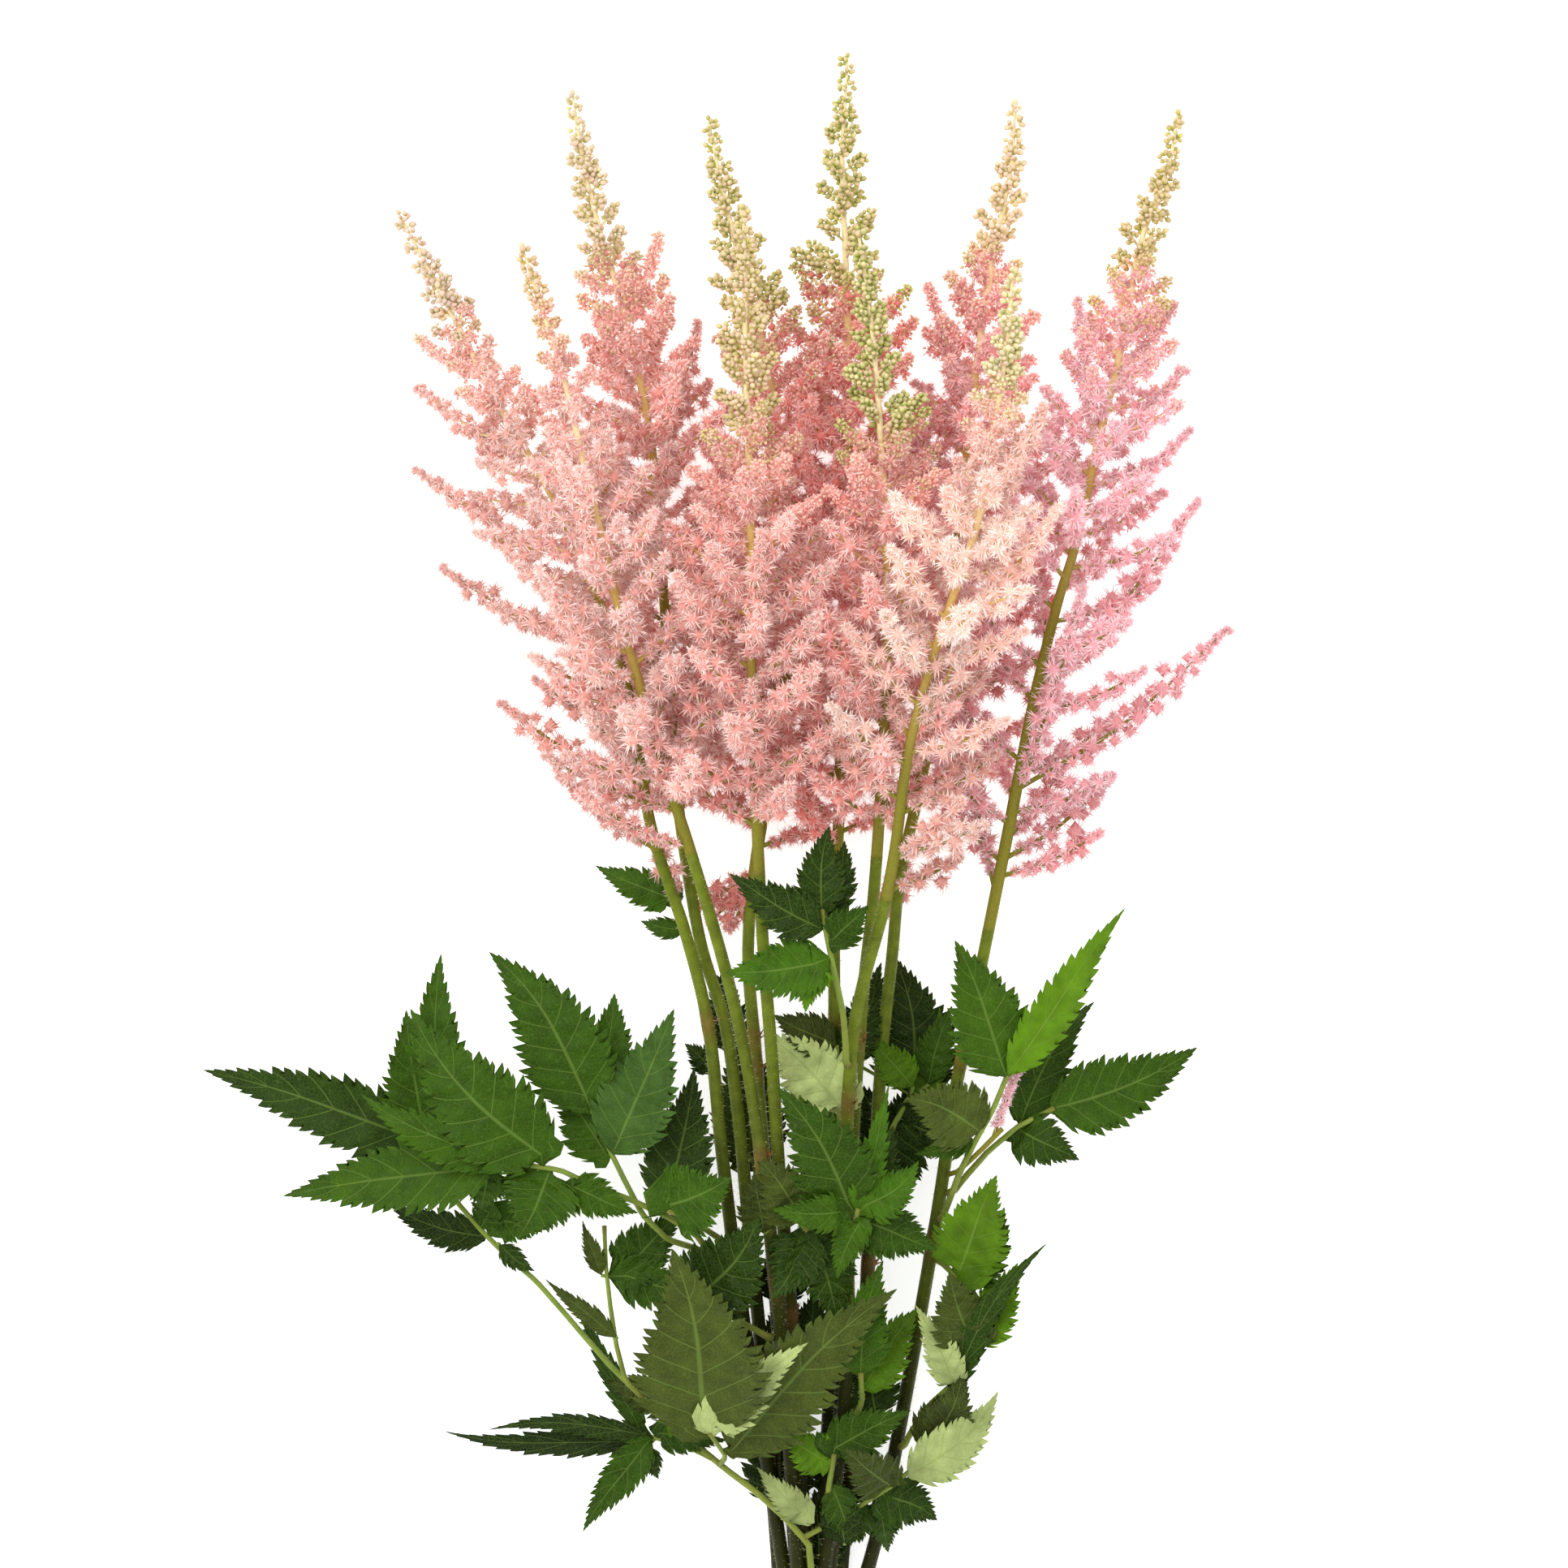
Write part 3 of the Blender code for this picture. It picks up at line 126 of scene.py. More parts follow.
# Side branches that show at the edge or in front: level of the root, tip, and radius
PLACED_BRANCHES = {
    "a": [(195, (-109, 219, 78), 4.2), (174, (-113, 190, 80), 5), (146, (-113, 171, 76), 6),
          (105, (-114, 140, 70), 7.5), (71, (-104, 102, 66), 7.5), (46, (-100, 87, 72), 8.5),
          (20, (-82, 51, 62), 8), (-5, (-71, 32, 56), 6.5)],
    "j": [(90, (-59, 146, 128), 6.5), (71, (-42, 129, 134), 8), (40, (-67, 101, 126), 8),
          (12, (-34, 71, 124), 8.5), (-5, (-52, 17, 96), 6)],
    "b": [(195, (-21, 229, 50), 5), (158, (-45, 198, 44), 5), (136, (-6, 196, 44), 6.5),
          (9, (-37, 28, 24), 7)],
    "c": [(195, (-10, 211, 60), 5), (-14, (0, -30, 30), 7)],
    "d": [(158, (26, 211, 116), 5.5), (71, (18, 116, 138), 7.5), (43, (-14, 100, 130), 8),
          (6, (14, 69, 132), 9), (-6, (33, 28, 118), 8), (-10, (36, -12, 96), 8.5)],
    "e": [(212, (31, 228, 58), 4.8), (217, (65, 240, 58), 4.2), (189, (74, 219, 58), 5)],
    "f": [(146, (40, 178, 112), 6), (40, (38, 94, 122), 9), (16, (48, 62, 118), 9)],
    "g": [(202, (91, 226, 60), 5), (164, (82, 210, 58), 5.5), (-9, (98, 9, 30), 8),
          (-7, (75, -26, 36), 5.5)],
    "h": [(121, (126, 164, 122), 7), (102, (68, 130, 140), 8), (71, (132, 126, 124), 8.5),
          (40, (109, 97, 134), 9), (22, (51, 60, 128), 9), (-9, (95, 14, 108), 9), (-20, (94, -8, 86), 8)],
    "i": [(194, (149, 221, 84), 5), (174, (176, 203, 84), 5), (146, (139, 205, 88), 5.5),
          (146, (179, 178, 82), 5.5), (121, (182, 155, 80), 6), (96, (188, 149, 78), 7),
          (56, (185, 128, 76), 8.5), (17, (196, 79, 70), 9), (12, (141, 95, 98), 9),
          (-9, (152, 22, 56), 9), (-40, (144, -8, 44), 9), (-22, (96, 39, 48), 7)],
}

LEAVES = {
    "leaf_01": ("j", [
        [(35, -289, 20), (37, -277, 26), (35, -268, 28), (19, -253, 30), (2, -240, 32),
         (-19, -222, 32), (-40, -202, 33), (-68, -170, 36), (-83, -157, 38), (-102, -135, 42),
         (-110, -118, 45)],
        [(-1, -238, 32), (-12, -233, 29), (-26, -229, 28)],
        [(3, -241, 32), (5, -238, 40), (3, -232, 46), (-2, -228, 50)],
        [(35, -268, 28), (51, -259, 31), (67, -249, 34), (77, -241, 35), (86, -230, 36)],
        [(-28, -213, 32), (-36, -205, 35), (-38, -192, 36), (-41, -170, 38), (-42, -149, 40)],
    ], [
        ((-86, -154, 39), (-126, -142, 30), 14),
        ((-81, -147, 43), (-60, -149, 46), 14), ((-82, -146, 44), (-93, -140, 46), 11),
        ((-110, -117, 46), (-119, -67, 52), 25), ((-102, -115, 42), (-107, -45, 46), 25),
        ((-101, -114, 40), (-100, -60, 38), 16), ((-116, -115, 43), (-195, -86, 34), 25),
        ((-26, -231, 27), (-104, -232, 13), 10), ((-26, -229, 30), (-87, -224, 24), 8),
        ((-25, -231, 30), (-53, -264, 24), 14), ((-28, -227, 26), (-54, -177, 18), 9),
        ((-22, -228, 31), (5, -232, 37), 13),
        ((-21, -227, 34), (-4, -204, 44), 19), ((-15, -217, 30), (-42, -207, 25), 15),
        ((-4, -227, 50), (-12, -157, 66), 46), ((-1, -225, 54), (33, -191, 66), 19),
        ((7, -235, 44), (67, -170, 66), 33), ((72, -246, 36), (111, -215, 42), 19),
        ((67, -248, 38), (50, -234, 54), 19), ((65, -252, 30), (86, -260, 20), 19),
        ((63, -254, 28), (66, -274, 16), 14), ((55, -257, 27), (49, -271, 18), 13),
        ((86, -229, 37), (96, -205, 46), 18), ((35, -260, 34), (17, -241, 40), 12),
        ((-34, -166, 38), (-13, -142, 36), 20),
        ((-33, -168, 38), (-3, -174, 42), 18),
    ]),
    "leaf_02": ("i", [
        [(69, -232, 16), (78, -222, 30), (88, -212, 35), (96, -204, 38), (99, -193, 41)],
    ], [
        ((89, -215, 38), (125, -154, 50), 11), ((92, -210, 40), (77, -179, 48), 13),
        ((98, -192, 43), (89, -167, 50), 23), ((99, -192, 39), (117, -164, 34), 19),
        ((81, -221, 30), (91, -237, 30), 14),
    ]),
    "leaf_03": ("i", [
        [(83, -160, 32), (89, -165, 38), (93, -169, 40)],
    ], [
        ((93, -169, 42), (105, -129, 46), 27), ((95, -169, 38), (113, -143, 34), 19),
    ]),
    "leaf_04": ("i", [
        [(87, -136, 37), (99, -126, 43), (116, -111, 46), (130, -104, 47)],
    ], [
        ((117, -110, 44), (142, -61, 34), 19), ((130, -104, 47), (185, -81, 40), 25),
        ((116, -112, 44), (140, -122, 36), 19),
    ]),
    "leaf_05": ("i", [
        [(86, -146, 35), (91, -136, 47), (97, -121, 54), (103, -112, 57), (109, -99, 61),
         (113, -89, 63)],
    ], [
        ((112, -93, 64), (95, -39, 66), 28), ((114, -89, 65), (153, -25, 60), 16),
        ((102, -113, 59), (74, -98, 62), 25), ((100, -116, 56), (77, -123, 54), 9),
    ]),
    "leaf_06": ("g", [
        [(61, -121, 36), (69, -109, 29), (75, -99, 26)],
    ], [
        ((76, -98, 25), (71, -46, 22), 30), ((78, -100, 29), (89, -66, 32), 13),
        ((71, -108, 27), (92, -115, 18), 22), ((70, -112, 27), (68, -144, 23), 24),
    ]),
    "leaf_07": ("e", [
        [(46, -124, 35), (48, -113, 48), (48, -104, 52)],
    ], [
        ((48, -103, 53), (20, -74, 49), 26),
    ]),
    "leaf_08": ("h", [
        [(51, -164, 47), (53, -152, 60), (55, -142, 66)],
    ], [
        ((51, -140, 68), (25, -95, 76), 28), ((53, -143, 66), (21, -143, 68), 14),
        ((58, -141, 68), (80, -126, 72), 17), ((57, -145, 67), (46, -169, 64), 12),
        ((56, -139, 70), (64, -95, 74), 11), ((55, -139, 64), (70, -112, 58), 22),
        ((57, -147, 62), (84, -160, 56), 20),
    ]),
    "leaf_09": ("h", [
        [(52, -87, 66), (50, -72, 80), (44, -43, 93), (41, -28, 96)],
    ], [
        ((38, -49, 95), (4, -53, 93), 21), ((40, -35, 96), (7, -13, 97), 17),
        ((41, -26, 97), (43, 4, 94), 17), ((43, -29, 93), (51, -2, 86), 14),
        ((45, -40, 95), (60, -28, 98), 14), ((38, -50, 92), (33, -67, 94), 14),
    ]),
    "leaf_10": ("b", [
        [(-3, -49, 46), (-9, -42, 47), (-13, -34, 48), (-16, -25, 49)],
    ], [
        ((-16, -24, 50), (-46, -13, 44), 14), ((-13, -36, 47), (-28, -32, 43), 8),
    ]),
    "leaf_11": ("a", [
        [(9, -167, 35), (-6, -153, 46), (-25, -142, 52), (-48, -133, 57), (-64, -126, 60),
         (-85, -126, 61)],
    ], [
        ((-85, -126, 62), (-166, -135, 48), 25), ((-86, -123, 64), (-137, -102, 70), 17),
        ((-66, -122, 65), (-119, -68, 66), 34), ((-86, -128, 59), (-89, -143, 52), 19),
        ((-63, -128, 60), (-74, -154, 50), 27), ((-54, -134, 60), (-30, -146, 62), 15),
    ]),
    "leaf_12": ("b", [
        [(16, -164, 29), (4, -162, 26), (-9, -157, 37), (-23, -151, 46), (-33, -134, 51), (-40, -120, 54),
         (-47, -104, 56)],
    ], [
        ((-47, -104, 57), (-81, -41, 56), 31), ((-46, -104, 53), (-38, -60, 48), 23),
        ((-38, -120, 56), (-14, -67, 60), 27), ((-41, -122, 51), (-60, -94, 44), 20),
    ]),
    "leaf_13": ("a", [
        [(7, -155, 37), (-6, -148, 52), (-18, -143, 60)],
    ], [
        ((-19, -142, 61), (6, -130, 72), 26), ((-17, -142, 56), (-4, -90, 36), 24),
    ]),
    "leaf_14": ("j", [
        [(25, -189, 36), (8, -184, 48), (-6, -178, 52)],
    ], [
        ((-7, -177, 53), (19, -146, 64), 29),
    ]),
    "leaf_15": ("h", [
        [(50, -222, 33), (57, -214, 39), (56, -205, 48)],
    ], [
        ((56, -205, 48), (64, -162, 58), 19), ((58, -209, 40), (78, -180, 37), 19),
    ]),
    "leaf_16": ("h", [
        [(46, -254, 26), (44, -245, 36), (46, -236, 40)],
    ], [
        ((46, -234, 41), (74, -218, 46), 19), ((43, -239, 38), (26, -229, 42), 16),
        ((45, -248, 34), (53, -271, 30), 13),
    ]),
    "leaf_17": ("d", [
        [(26, -142, 48), (32, -147, 57), (36, -151, 59)],
    ], [
        ((35, -149, 60), (18, -122, 62), 22), ((34, -153, 58), (24, -178, 60), 20),
        ((37, -153, 57), (46, -188, 55), 24),
    ]),
    "leaf_18": ("c", [
        [(18, -136, 36), (17, -131, 27), (15, -126, 22)],
    ], [
        ((14, -125, 21), (10, -72, 20), 26),
    ]),
}

# A small spray among the leaves: parent stem, stalk points, tip, and radius
LOW_SPRAY = ("i", [(89, -128, 38), (100, -122, 51), (110, -112, 56)], (121, -74, 57.5), 3.4)

# Turn from one side branch, puff or petal to the next, in radians
GOLDEN = 2.399963

# Buds: length, width, and height and radius of each ring as shares of them
BUD_LENGTH = 2.9
BUD_WIDTH = 2.35
SMALL_BUD = 1.9
BUD_RINGS = ((0.28, 0.46), (0.72, 0.43))
SMALL_BUD_RINGS = ((0.5, 0.5),)

# Puffs, which are round clusters of florets along a side branch
BRANCH_WIDTH = 1.42
LEAST_REACH = 3.2
PUFF_SHARE = 0.34
PUFF_STEP = 0.48
LEAST_PUFF = 1.3
TIP_PUFF = 1.2
HIGHEST_PUFF = 148.0
PETAL_LENGTH = 1.15
PETAL_GROWTH = 0.7
PETAL_WIDTH = 0.72
PETALS = 46
HALF_OPEN_PETALS = 26
PUFF_BUDS = 9
CORE_SHARE = 0.74
BUD_CORE_SHARE = 0.55

# How far open florets are: at the spire's end, with all petals, with some, and the lag at a tip
FIRST_OPEN = 0.16
FULL_OPEN = 0.3
HALF_OPEN = 0.12
TIP_LAG = 0.16

# Filling side branches: step along the axis, and where the axis stays bare above
FILL_STEP = 4.1
BARE_AXES = {"h": 0.55, "i": 0.45}

# Hairs of the stems
HAIRS_PER_MM = 3.6
STALK_HAIRS_PER_MM = 1.2
HAIR_LENGTH = 1.4
HAIR_WIDTH = 0.2

# Colours as they show, as red, green and blue from 0 to 255
CREAM = (243, 224, 176)
TAN = (205, 168, 96)
OLIVE = (128, 124, 48)
STEM_GREEN = (106, 120, 34)
STEM_PAINTED_SHADE = (44, 46, 12)
STALK_GREEN = (120, 138, 58)
HAIR = (196, 196, 140)
STEM_BROWN = (120, 84, 48)
BRACT = (166, 112, 66)
VEIN = (132, 160, 76)
PINK_BUD = (250, 180, 166)
PINK_TIP = (253, 212, 202)

# Each flower head: petal tips, petal roots, spire buds and the tips of those buds. The darker petal roots,
# which also colour the cores of the puffs, are partly the florets' own colour and partly painted shade
# between the petals
HEADS = {
    "a": ((250, 232, 226), (234, 180, 166), (214, 200, 154), (234, 200, 194)),
    "b": ((250, 224, 218), (232, 158, 148), (214, 206, 146), (236, 198, 190)),
    "c": ((250, 214, 208), (230, 142, 132), (190, 192, 104), (240, 204, 180)),
    "d": ((250, 226, 218), (236, 166, 156), (206, 198, 122), (240, 202, 184)),
    "e": ((250, 210, 204), (228, 136, 128), (178, 184, 92), (234, 200, 168)),
    "f": ((252, 226, 220), (236, 162, 152), (170, 180, 88), (232, 210, 168)),
    "g": ((252, 218, 216), (230, 150, 148), (226, 210, 150), (244, 208, 194)),
    "h": ((255, 242, 234), (246, 202, 186), (216, 214, 150), (240, 220, 192)),
    "i": ((254, 230, 234), (240, 172, 178), (198, 190, 106), (234, 198, 174)),
    "j": ((252, 232, 226), (238, 176, 164), (216, 196, 134), (242, 196, 184)),
}
LOW_HEAD = ((250, 222, 226), (228, 170, 178), (200, 160, 120), (220, 160, 150))

# Painted shade of the florets: the colour they take with depth below the top of their plume, in how many
# millimetres, and its share in petal tips and roots
PAINTED_SHADE_PINK = (204, 116, 106)
PAINTED_SHADE_DEPTH = 48.0
PAINTED_SHADE_IN_TIPS = 0.34
PAINTED_SHADE_IN_ROOTS = 0.68

# Tufts that hang below the plumes among the stems: tip and radius
LOW_TUFTS = {
    "c": (((-2, -33, 33), 10.0), ((6, -36, 36), 9.0), ((-8, -26, 38), 9.0)),
    "a": (((-14, -20, 52), 8.5),),
    "g": (((66, -30, 34), 9.0),),
}

# Kinds of leaflet: upper sides, and the undersides olive and pale. The dark upper sides hold painted shade
# and the bright ones painted light, over the leaflets' own green
LEAF_COLOURS = {
    "dark": (38, 58, 10),
    "mid": (50, 78, 10),
    "fresh": (58, 92, 12),
    "bright": (84, 122, 16),
    "olive": (62, 72, 28),
    "pale": (158, 172, 108),
    "cool": (58, 86, 34),
}

# Which leaflets of each leaf are not mid green, by their place in the list above
LEAF_KINDS = {
    "leaf_01": {0: "dark", 5: "dark", 6: "dark", 7: "dark", 8: "dark", 12: "bright", 13: "olive",
                14: "olive", 15: "pale", 16: "olive", 17: "pale", 18: "olive", 22: "olive", 23: "pale"},
    "leaf_02": {0: "dark", 1: "pale", 2: "olive", 3: "bright"},
    "leaf_03": {0: "bright"},
    "leaf_05": {1: "bright", 2: "olive"},
    "leaf_06": {0: "dark", 1: "bright", 2: "dark", 3: "dark"},
    "leaf_07": {0: "pale"},
    "leaf_08": {0: "mid", 2: "fresh", 4: "fresh", 5: "dark", 6: "mid"},
    "leaf_09": {0: "fresh", 1: "dark", 2: "dark", 3: "dark", 5: "bright"},
    "leaf_12": {2: "cool"},
    "leaf_13": {0: "fresh", 1: "dark"},
    "leaf_14": {0: "dark"},
    "leaf_15": {1: "bright"},
    "leaf_16": {1: "bright"},
    "leaf_17": {0: "olive", 1: "dark", 2: "dark"},
    "leaf_18": {0: "olive"},
}

# Small leaflets that only the fine model has, most of them behind the stems, where their dark kind is
# painted shade
SMALL_BLADES = {
    "leaf_01": (((-82, -156, 42), (-69, -167, 40), 8, "dark"),
                ((-25, -233, 30), (-22, -246, 26), 8, "dark"),
                ((-43, -168, 39), (-52, -148, 42), 7, "olive"),
                ((-37, -192, 37), (-65, -170, 34), 8, "olive"),
                ((79, -236, 34), (96, -208, 33), 19, "olive"),
                ((25, -257, 10), (26, -217, 12), 26, "dark")),
    "leaf_06": (((54, -87, 30), (61, -48, 26), 17, "dark"),
                ((76, -96, 42), (59, -78, 44), 14, "bright"),
                ((82, -95, 34), (91, -65, 38), 14, "mid"),
                ((64, -126, 22), (56, -93, 20), 20, "dark"),
                ((70, -124, 19), (79, -93, 18), 20, "dark")),
    "leaf_07": (((47, -80, 50), (22, -70, 48), 15, "olive"),
                ((50, -88, 44), (64, -58, 40), 15, "dark")),
    "leaf_08": (((59, -146, 40), (56, -125, 32), 18, "dark"),),
    "leaf_14": (((25, -180, 24), (29, -152, 22), 18, "dark"),
                ((26, -212, 12), (27, -172, 14), 24, "dark")),
    "leaf_15": (((62, -222, 30), (57, -197, 32), 20, "dark"),
                ((33, -208, 24), (37, -174, 24), 24, "dark")),
    "leaf_16": (((50, -271, 32), (47, -245, 32), 15, "dark"),
                ((50, -257, 11), (51, -220, 12), 26, "dark"),
                ((40, -285, 10), (38, -250, 11), 20, "dark")),
    "leaf_17": (((19, -152, 58), (14, -129, 58), 16, "olive"),),
    "leaf_18": (((0, -91, 24), (-11, -79, 24), 10, "dark"),
                ((8, -84, 18), (3, -48, 20), 15, "dark")),
}

# Half width of a leaflet by its share of the length, from its stalk to its tip
BLADE_OUTLINE = ((0.0, 0.0), (0.03, 0.14), (0.07, 0.46), (0.13, 0.78), (0.22, 0.98), (0.32, 1.04),
                 (0.44, 0.98), (0.56, 0.82), (0.68, 0.60), (0.79, 0.38), (0.89, 0.19), (0.96, 0.08),
                 (1.0, 0.0))
BLADE_COLUMNS = (-1.0, -0.66, -0.32, 0.0, 0.32, 0.66, 1.0)
BLADE_SPREAD = 1.22
BLADE_LIFT = 0.2
PLEAT = 0.8
TIP_CURL = 0.14
VEIN_REACH = 0.15

# Three rows make a tooth, and three teeth, the last one long, make a lobe between two veins
TOOTH_ROWS = (0.0, 0.5, 0.9)
TOOTH_LEANS = (0.0, 0.3, 1.0)
TOOTH_DEPTH = 0.24
TOOTH_TIPS = (0.42, 0.22, 0.0)
TOOTH_NOTCHES = (1.15, 0.95, 0.8)
TOOTH_FORWARD = 1.6

# Shade of leaflets: heights, and the share of their colour there
SHADE_HEIGHTS = (10.0, 55.0)
SHADES = (0.4, 1.0)

# Glow of the floret material, for the light that thin petals pass on to each other
PETAL_GLOW = 0.07

# Light, floor and camera, in metres, watts, degrees and lens millimetres
SKY_STRENGTH = 0.952
LAMP_POWER = 24.64
LAMP_SIZE = 1.6
LAMP_PLACE = (-0.7, 0.7, 2.0)
LAMP_TILT = -19.0
FLOOR_REACH = 6.0
FLOOR_DROP = 0.001
FLOOR_TONE = 0.93
FLOOR_GLOW = 0.6
LENS = 100.0
SENSOR = 36.0


def seen(point):
    """Moves a point of the picture plane along the line of sight to its height."""
    x, y, z = point
    scale = (EYE_HEIGHT - z) / (EYE_HEIGHT - PLANE_HEIGHT)
    across = VIEW_X + (x - VIEW_X) * scale - CENTRE_X
    along = VIEW_Y + (y - VIEW_Y) * scale - CENTRE_Y
    return np.array((across, along, z), dtype=float)


def smooth_path(points, step=PATH_STEP):
    """Evenly spaced points on a smooth curve through the given points."""
    knots = np.array(points, dtype=float)
    first = 2.0 * knots[0] - knots[1]
    last = 2.0 * knots[-1] - knots[-2]
    ext = np.vstack([first, knots, last])
    fine = []
    for i in range(1, len(ext) - 2):
        p0, p1, p2, p3 = ext[i - 1:i + 3]
        for t in np.linspace(0.0, 1.0, 12, endpoint=False):
            bend = 2 * p0 - 5 * p1 + 4 * p2 - p3
            twist = -p0 + 3 * p1 - 3 * p2 + p3
            fine.append(0.5 * (2 * p1 + (p2 - p0) * t + bend * t * t + twist * t ** 3))
    fine.append(knots[-1])
    fine = np.array(fine)
    run = path_lengths(fine)
    count = max(3, int(round(run[-1] / step)) + 1)
    return along_path(fine, np.linspace(0.0, run[-1], count))


def path_lengths(path):
    """Distance of each point of a path from its start."""
    steps = np.linalg.norm(np.diff(path, axis=0), axis=1)
    return np.concatenate([[0.0], np.cumsum(steps)])


def along_path(path, distances):
    """Points of a path at the given distances from its start."""
    run = path_lengths(path)
    return np.stack([np.interp(distances, run, path[:, k]) for k in range(3)], axis=1)


def unit(vector):
    """Vector of length one."""
    return vector / (np.linalg.norm(vector) + 1e-12)


def path_frames(path):
    """Two side vectors at each point of a path, turned as little as possible."""
    tangents = np.gradient(path, axis=0)
    tangents = tangents / (np.linalg.norm(tangents, axis=1)[:, None] + 1e-12)
    seed = np.array((0.0, 0.0, 1.0))
    if abs(tangents[0][2]) > 0.8:
        seed = np.array((1.0, 0.0, 0.0))
    side = unit(np.cross(tangents[0], seed))
    pairs = []
    for tangent in tangents:
        side = unit(side - tangent * np.dot(side, tangent))
        pairs.append((side, np.cross(tangent, side)))
    return pairs


class Crowd:
    """Every place that is already taken, as balls with an owner and a name."""

    def __init__(self):
        self.centres = np.zeros((0, 3))
        self.radii = np.zeros(0)
        self.owners = np.zeros(0, dtype=int)
        self.outer = np.zeros(0, dtype=bool)
        self.names = []

    def owner(self, name):
        """Number of a piece, given at its first use."""
        if name not in self.names:
            self.names.append(name)
        return self.names.index(name)

    def add(self, name, centres, radii, outer=None):
        """Takes a row of balls for the named piece, and says which lie far from its axis."""
        owner = self.owner(name)
        outer = np.zeros(len(centres), dtype=bool) if outer is None else outer
        self.outer = np.concatenate([self.outer, outer])
        self.centres = np.vstack([self.centres, centres])
        self.radii = np.concatenate([self.radii, np.broadcast_to(radii, len(centres))])
        self.owners = np.concatenate([self.owners, np.full(len(centres), owner)])

    def room(self, centres, radii, own):
        """Smallest gap from the given balls to the balls of every other owner."""
        low = centres.min(axis=0) - NEAR
        high = centres.max(axis=0) + NEAR
        inside = ((self.centres > low) & (self.centres < high)).all(axis=1)
        mine = np.isin(self.owners, [self.owner(name) for name in own])
        return self.smallest(centres, radii, inside & ~mine)

    def own_room(self, name, centres, radii):
        """Smallest gap from the given balls to the outer balls of the same piece."""
        return self.smallest(centres, radii, self.outer & (self.owners == self.owner(name)))

    def smallest(self, centres, radii, chosen):
        """Smallest gap from the given balls to the chosen ones."""
        if len(centres) == 0 or not chosen.any():
            return 99.0
        away = centres[:, None, :] - self.centres[chosen][None, :, :]
        gaps = np.linalg.norm(away, axis=2) - self.radii[chosen][None, :]
        return float((gaps - np.asarray(radii)[:, None]).min())


def stem_paths():
    """Full curve of each stem, tip first, and where its spire and plume end."""
    paths = {}
    for key, points in STEM_LINES.items():
        rows = np.array(points, dtype=float)
        path = smooth_path([seen(row) for row in rows])
        run = path_lengths(path)
        marks = []
        for level in (SPIRE_ENDS[key], PLUME_ENDS[key]):
            spot = seen([np.interp(-level, -rows[:, 1], rows[:, k]) for k in range(3)])
            marks.append(run[np.argmin(np.linalg.norm(path - spot, axis=1))])
        paths[key] = (path, marks[0], marks[1])
    return paths


def stem_radius(distance_up):
    """Radius of a stem at a distance from its cut end."""
    heel = HEEL_RADIUS * max(0.0, 1.0 - distance_up / HEEL_LENGTH)
    return STEM_RADIUS - STEM_TAPER * max(0.0, distance_up - 60.0) + heel


def branch_profile(length, radius):
    """Places and radii of the rings of one side branch, from its root to its tip."""
    if length > 30.0:
        shares = ((0.0, 0.1), (0.28, 0.75), (0.56, 1.0), (0.82, 0.7), (1.0, 0.1))
    else:
        shares = ((0.0, 0.1), (0.38, 1.0), (0.76, 0.8), (1.0, 0.1))
    places = np.array([share[0] for share in shares]) * length
    return places, np.array([share[1] for share in shares]) * radius


def branch_path(root, tip, bend):
    """Curve of a side branch, with its middle moved by the bend."""
    return smooth_path([root, (root + tip) * 0.5 + bend, tip])


def usual_bend(length):
    """Bend of a side branch that leaves its axis and then turns up."""
    return np.array((0.0, -SAG * length, -0.2 * SAG * length))


def branch_balls(root, tip, radius, bend):
    """Balls that fill a side branch, for keeping it clear of others."""
    path = branch_path(root, tip, bend)
    run = path_lengths(path)
    places, radii = branch_profile(run[-1], radius)
    return path, np.interp(run, places, radii)


def spread_length(distance):
    """Usual length of a side branch at a distance from the tip of its stem."""
    return min(78.0, max(6.0, 0.36 * (distance - 22.0)))


def placed_branches(paths, crowd, found, branches, drop=0.0):
    """Adds side branches with their tips where the given rows say."""
    for key, rows in branches.items():
        path = paths[key][0]
        for level, tip, radius in rows:
            knots = np.array(STEM_LINES[key], dtype=float)
            height = np.interp(-level, -knots[:, 1], knots[:, 2])
            target = seen((VIEW_X, level, height))[1]
            root = path[np.argmin(np.abs(path[:, 1] - target))]
            fit_branch(found, crowd, key, root, seen(tip), radius, 0.6, drop)


def branch_fits(crowd, key, root, end, radius, bend):
    """Balls of a side branch, where it clears the table and every other piece."""
    line, radii = branch_balls(root, end, radius, bend)
    line, radii = line[2:], radii[2:]
    if (line[:, 2] - radii).min() < -PRESS * radius:
        return None
    if crowd.room(line, radii * BALL_SHARE + GAP, ("rachis_" + key, "plume_" + key)) <= 0.0:
        return None
    outer = np.linalg.norm(line - root, axis=1) > CORE
    if crowd.own_room("plume_" + key, line[outer], radii[outer]) <= 0.0:
        return None
    return line, radii * BALL_SHARE, outer


def fit_branch(found, crowd, key, root, tip, radius, shortest, drop=0.0):
    """Adds a side branch, shortened until it clears every other piece."""
    away = tip - root
    for share in np.arange(1.0, shortest - 0.01, -0.08):
        end = root + away * share
        end[2] = tip[2] if drop else max(end[2], radius * 0.36)
        bend = usual_bend(np.linalg.norm(away) * share) - np.array((0.0, 0.0, drop))
        balls = branch_fits(crowd, key, root, end, radius, bend)
        if balls:
            crowd.add("plume_" + key, *balls)
            found[key].append((root, end, radius, bend))
            return


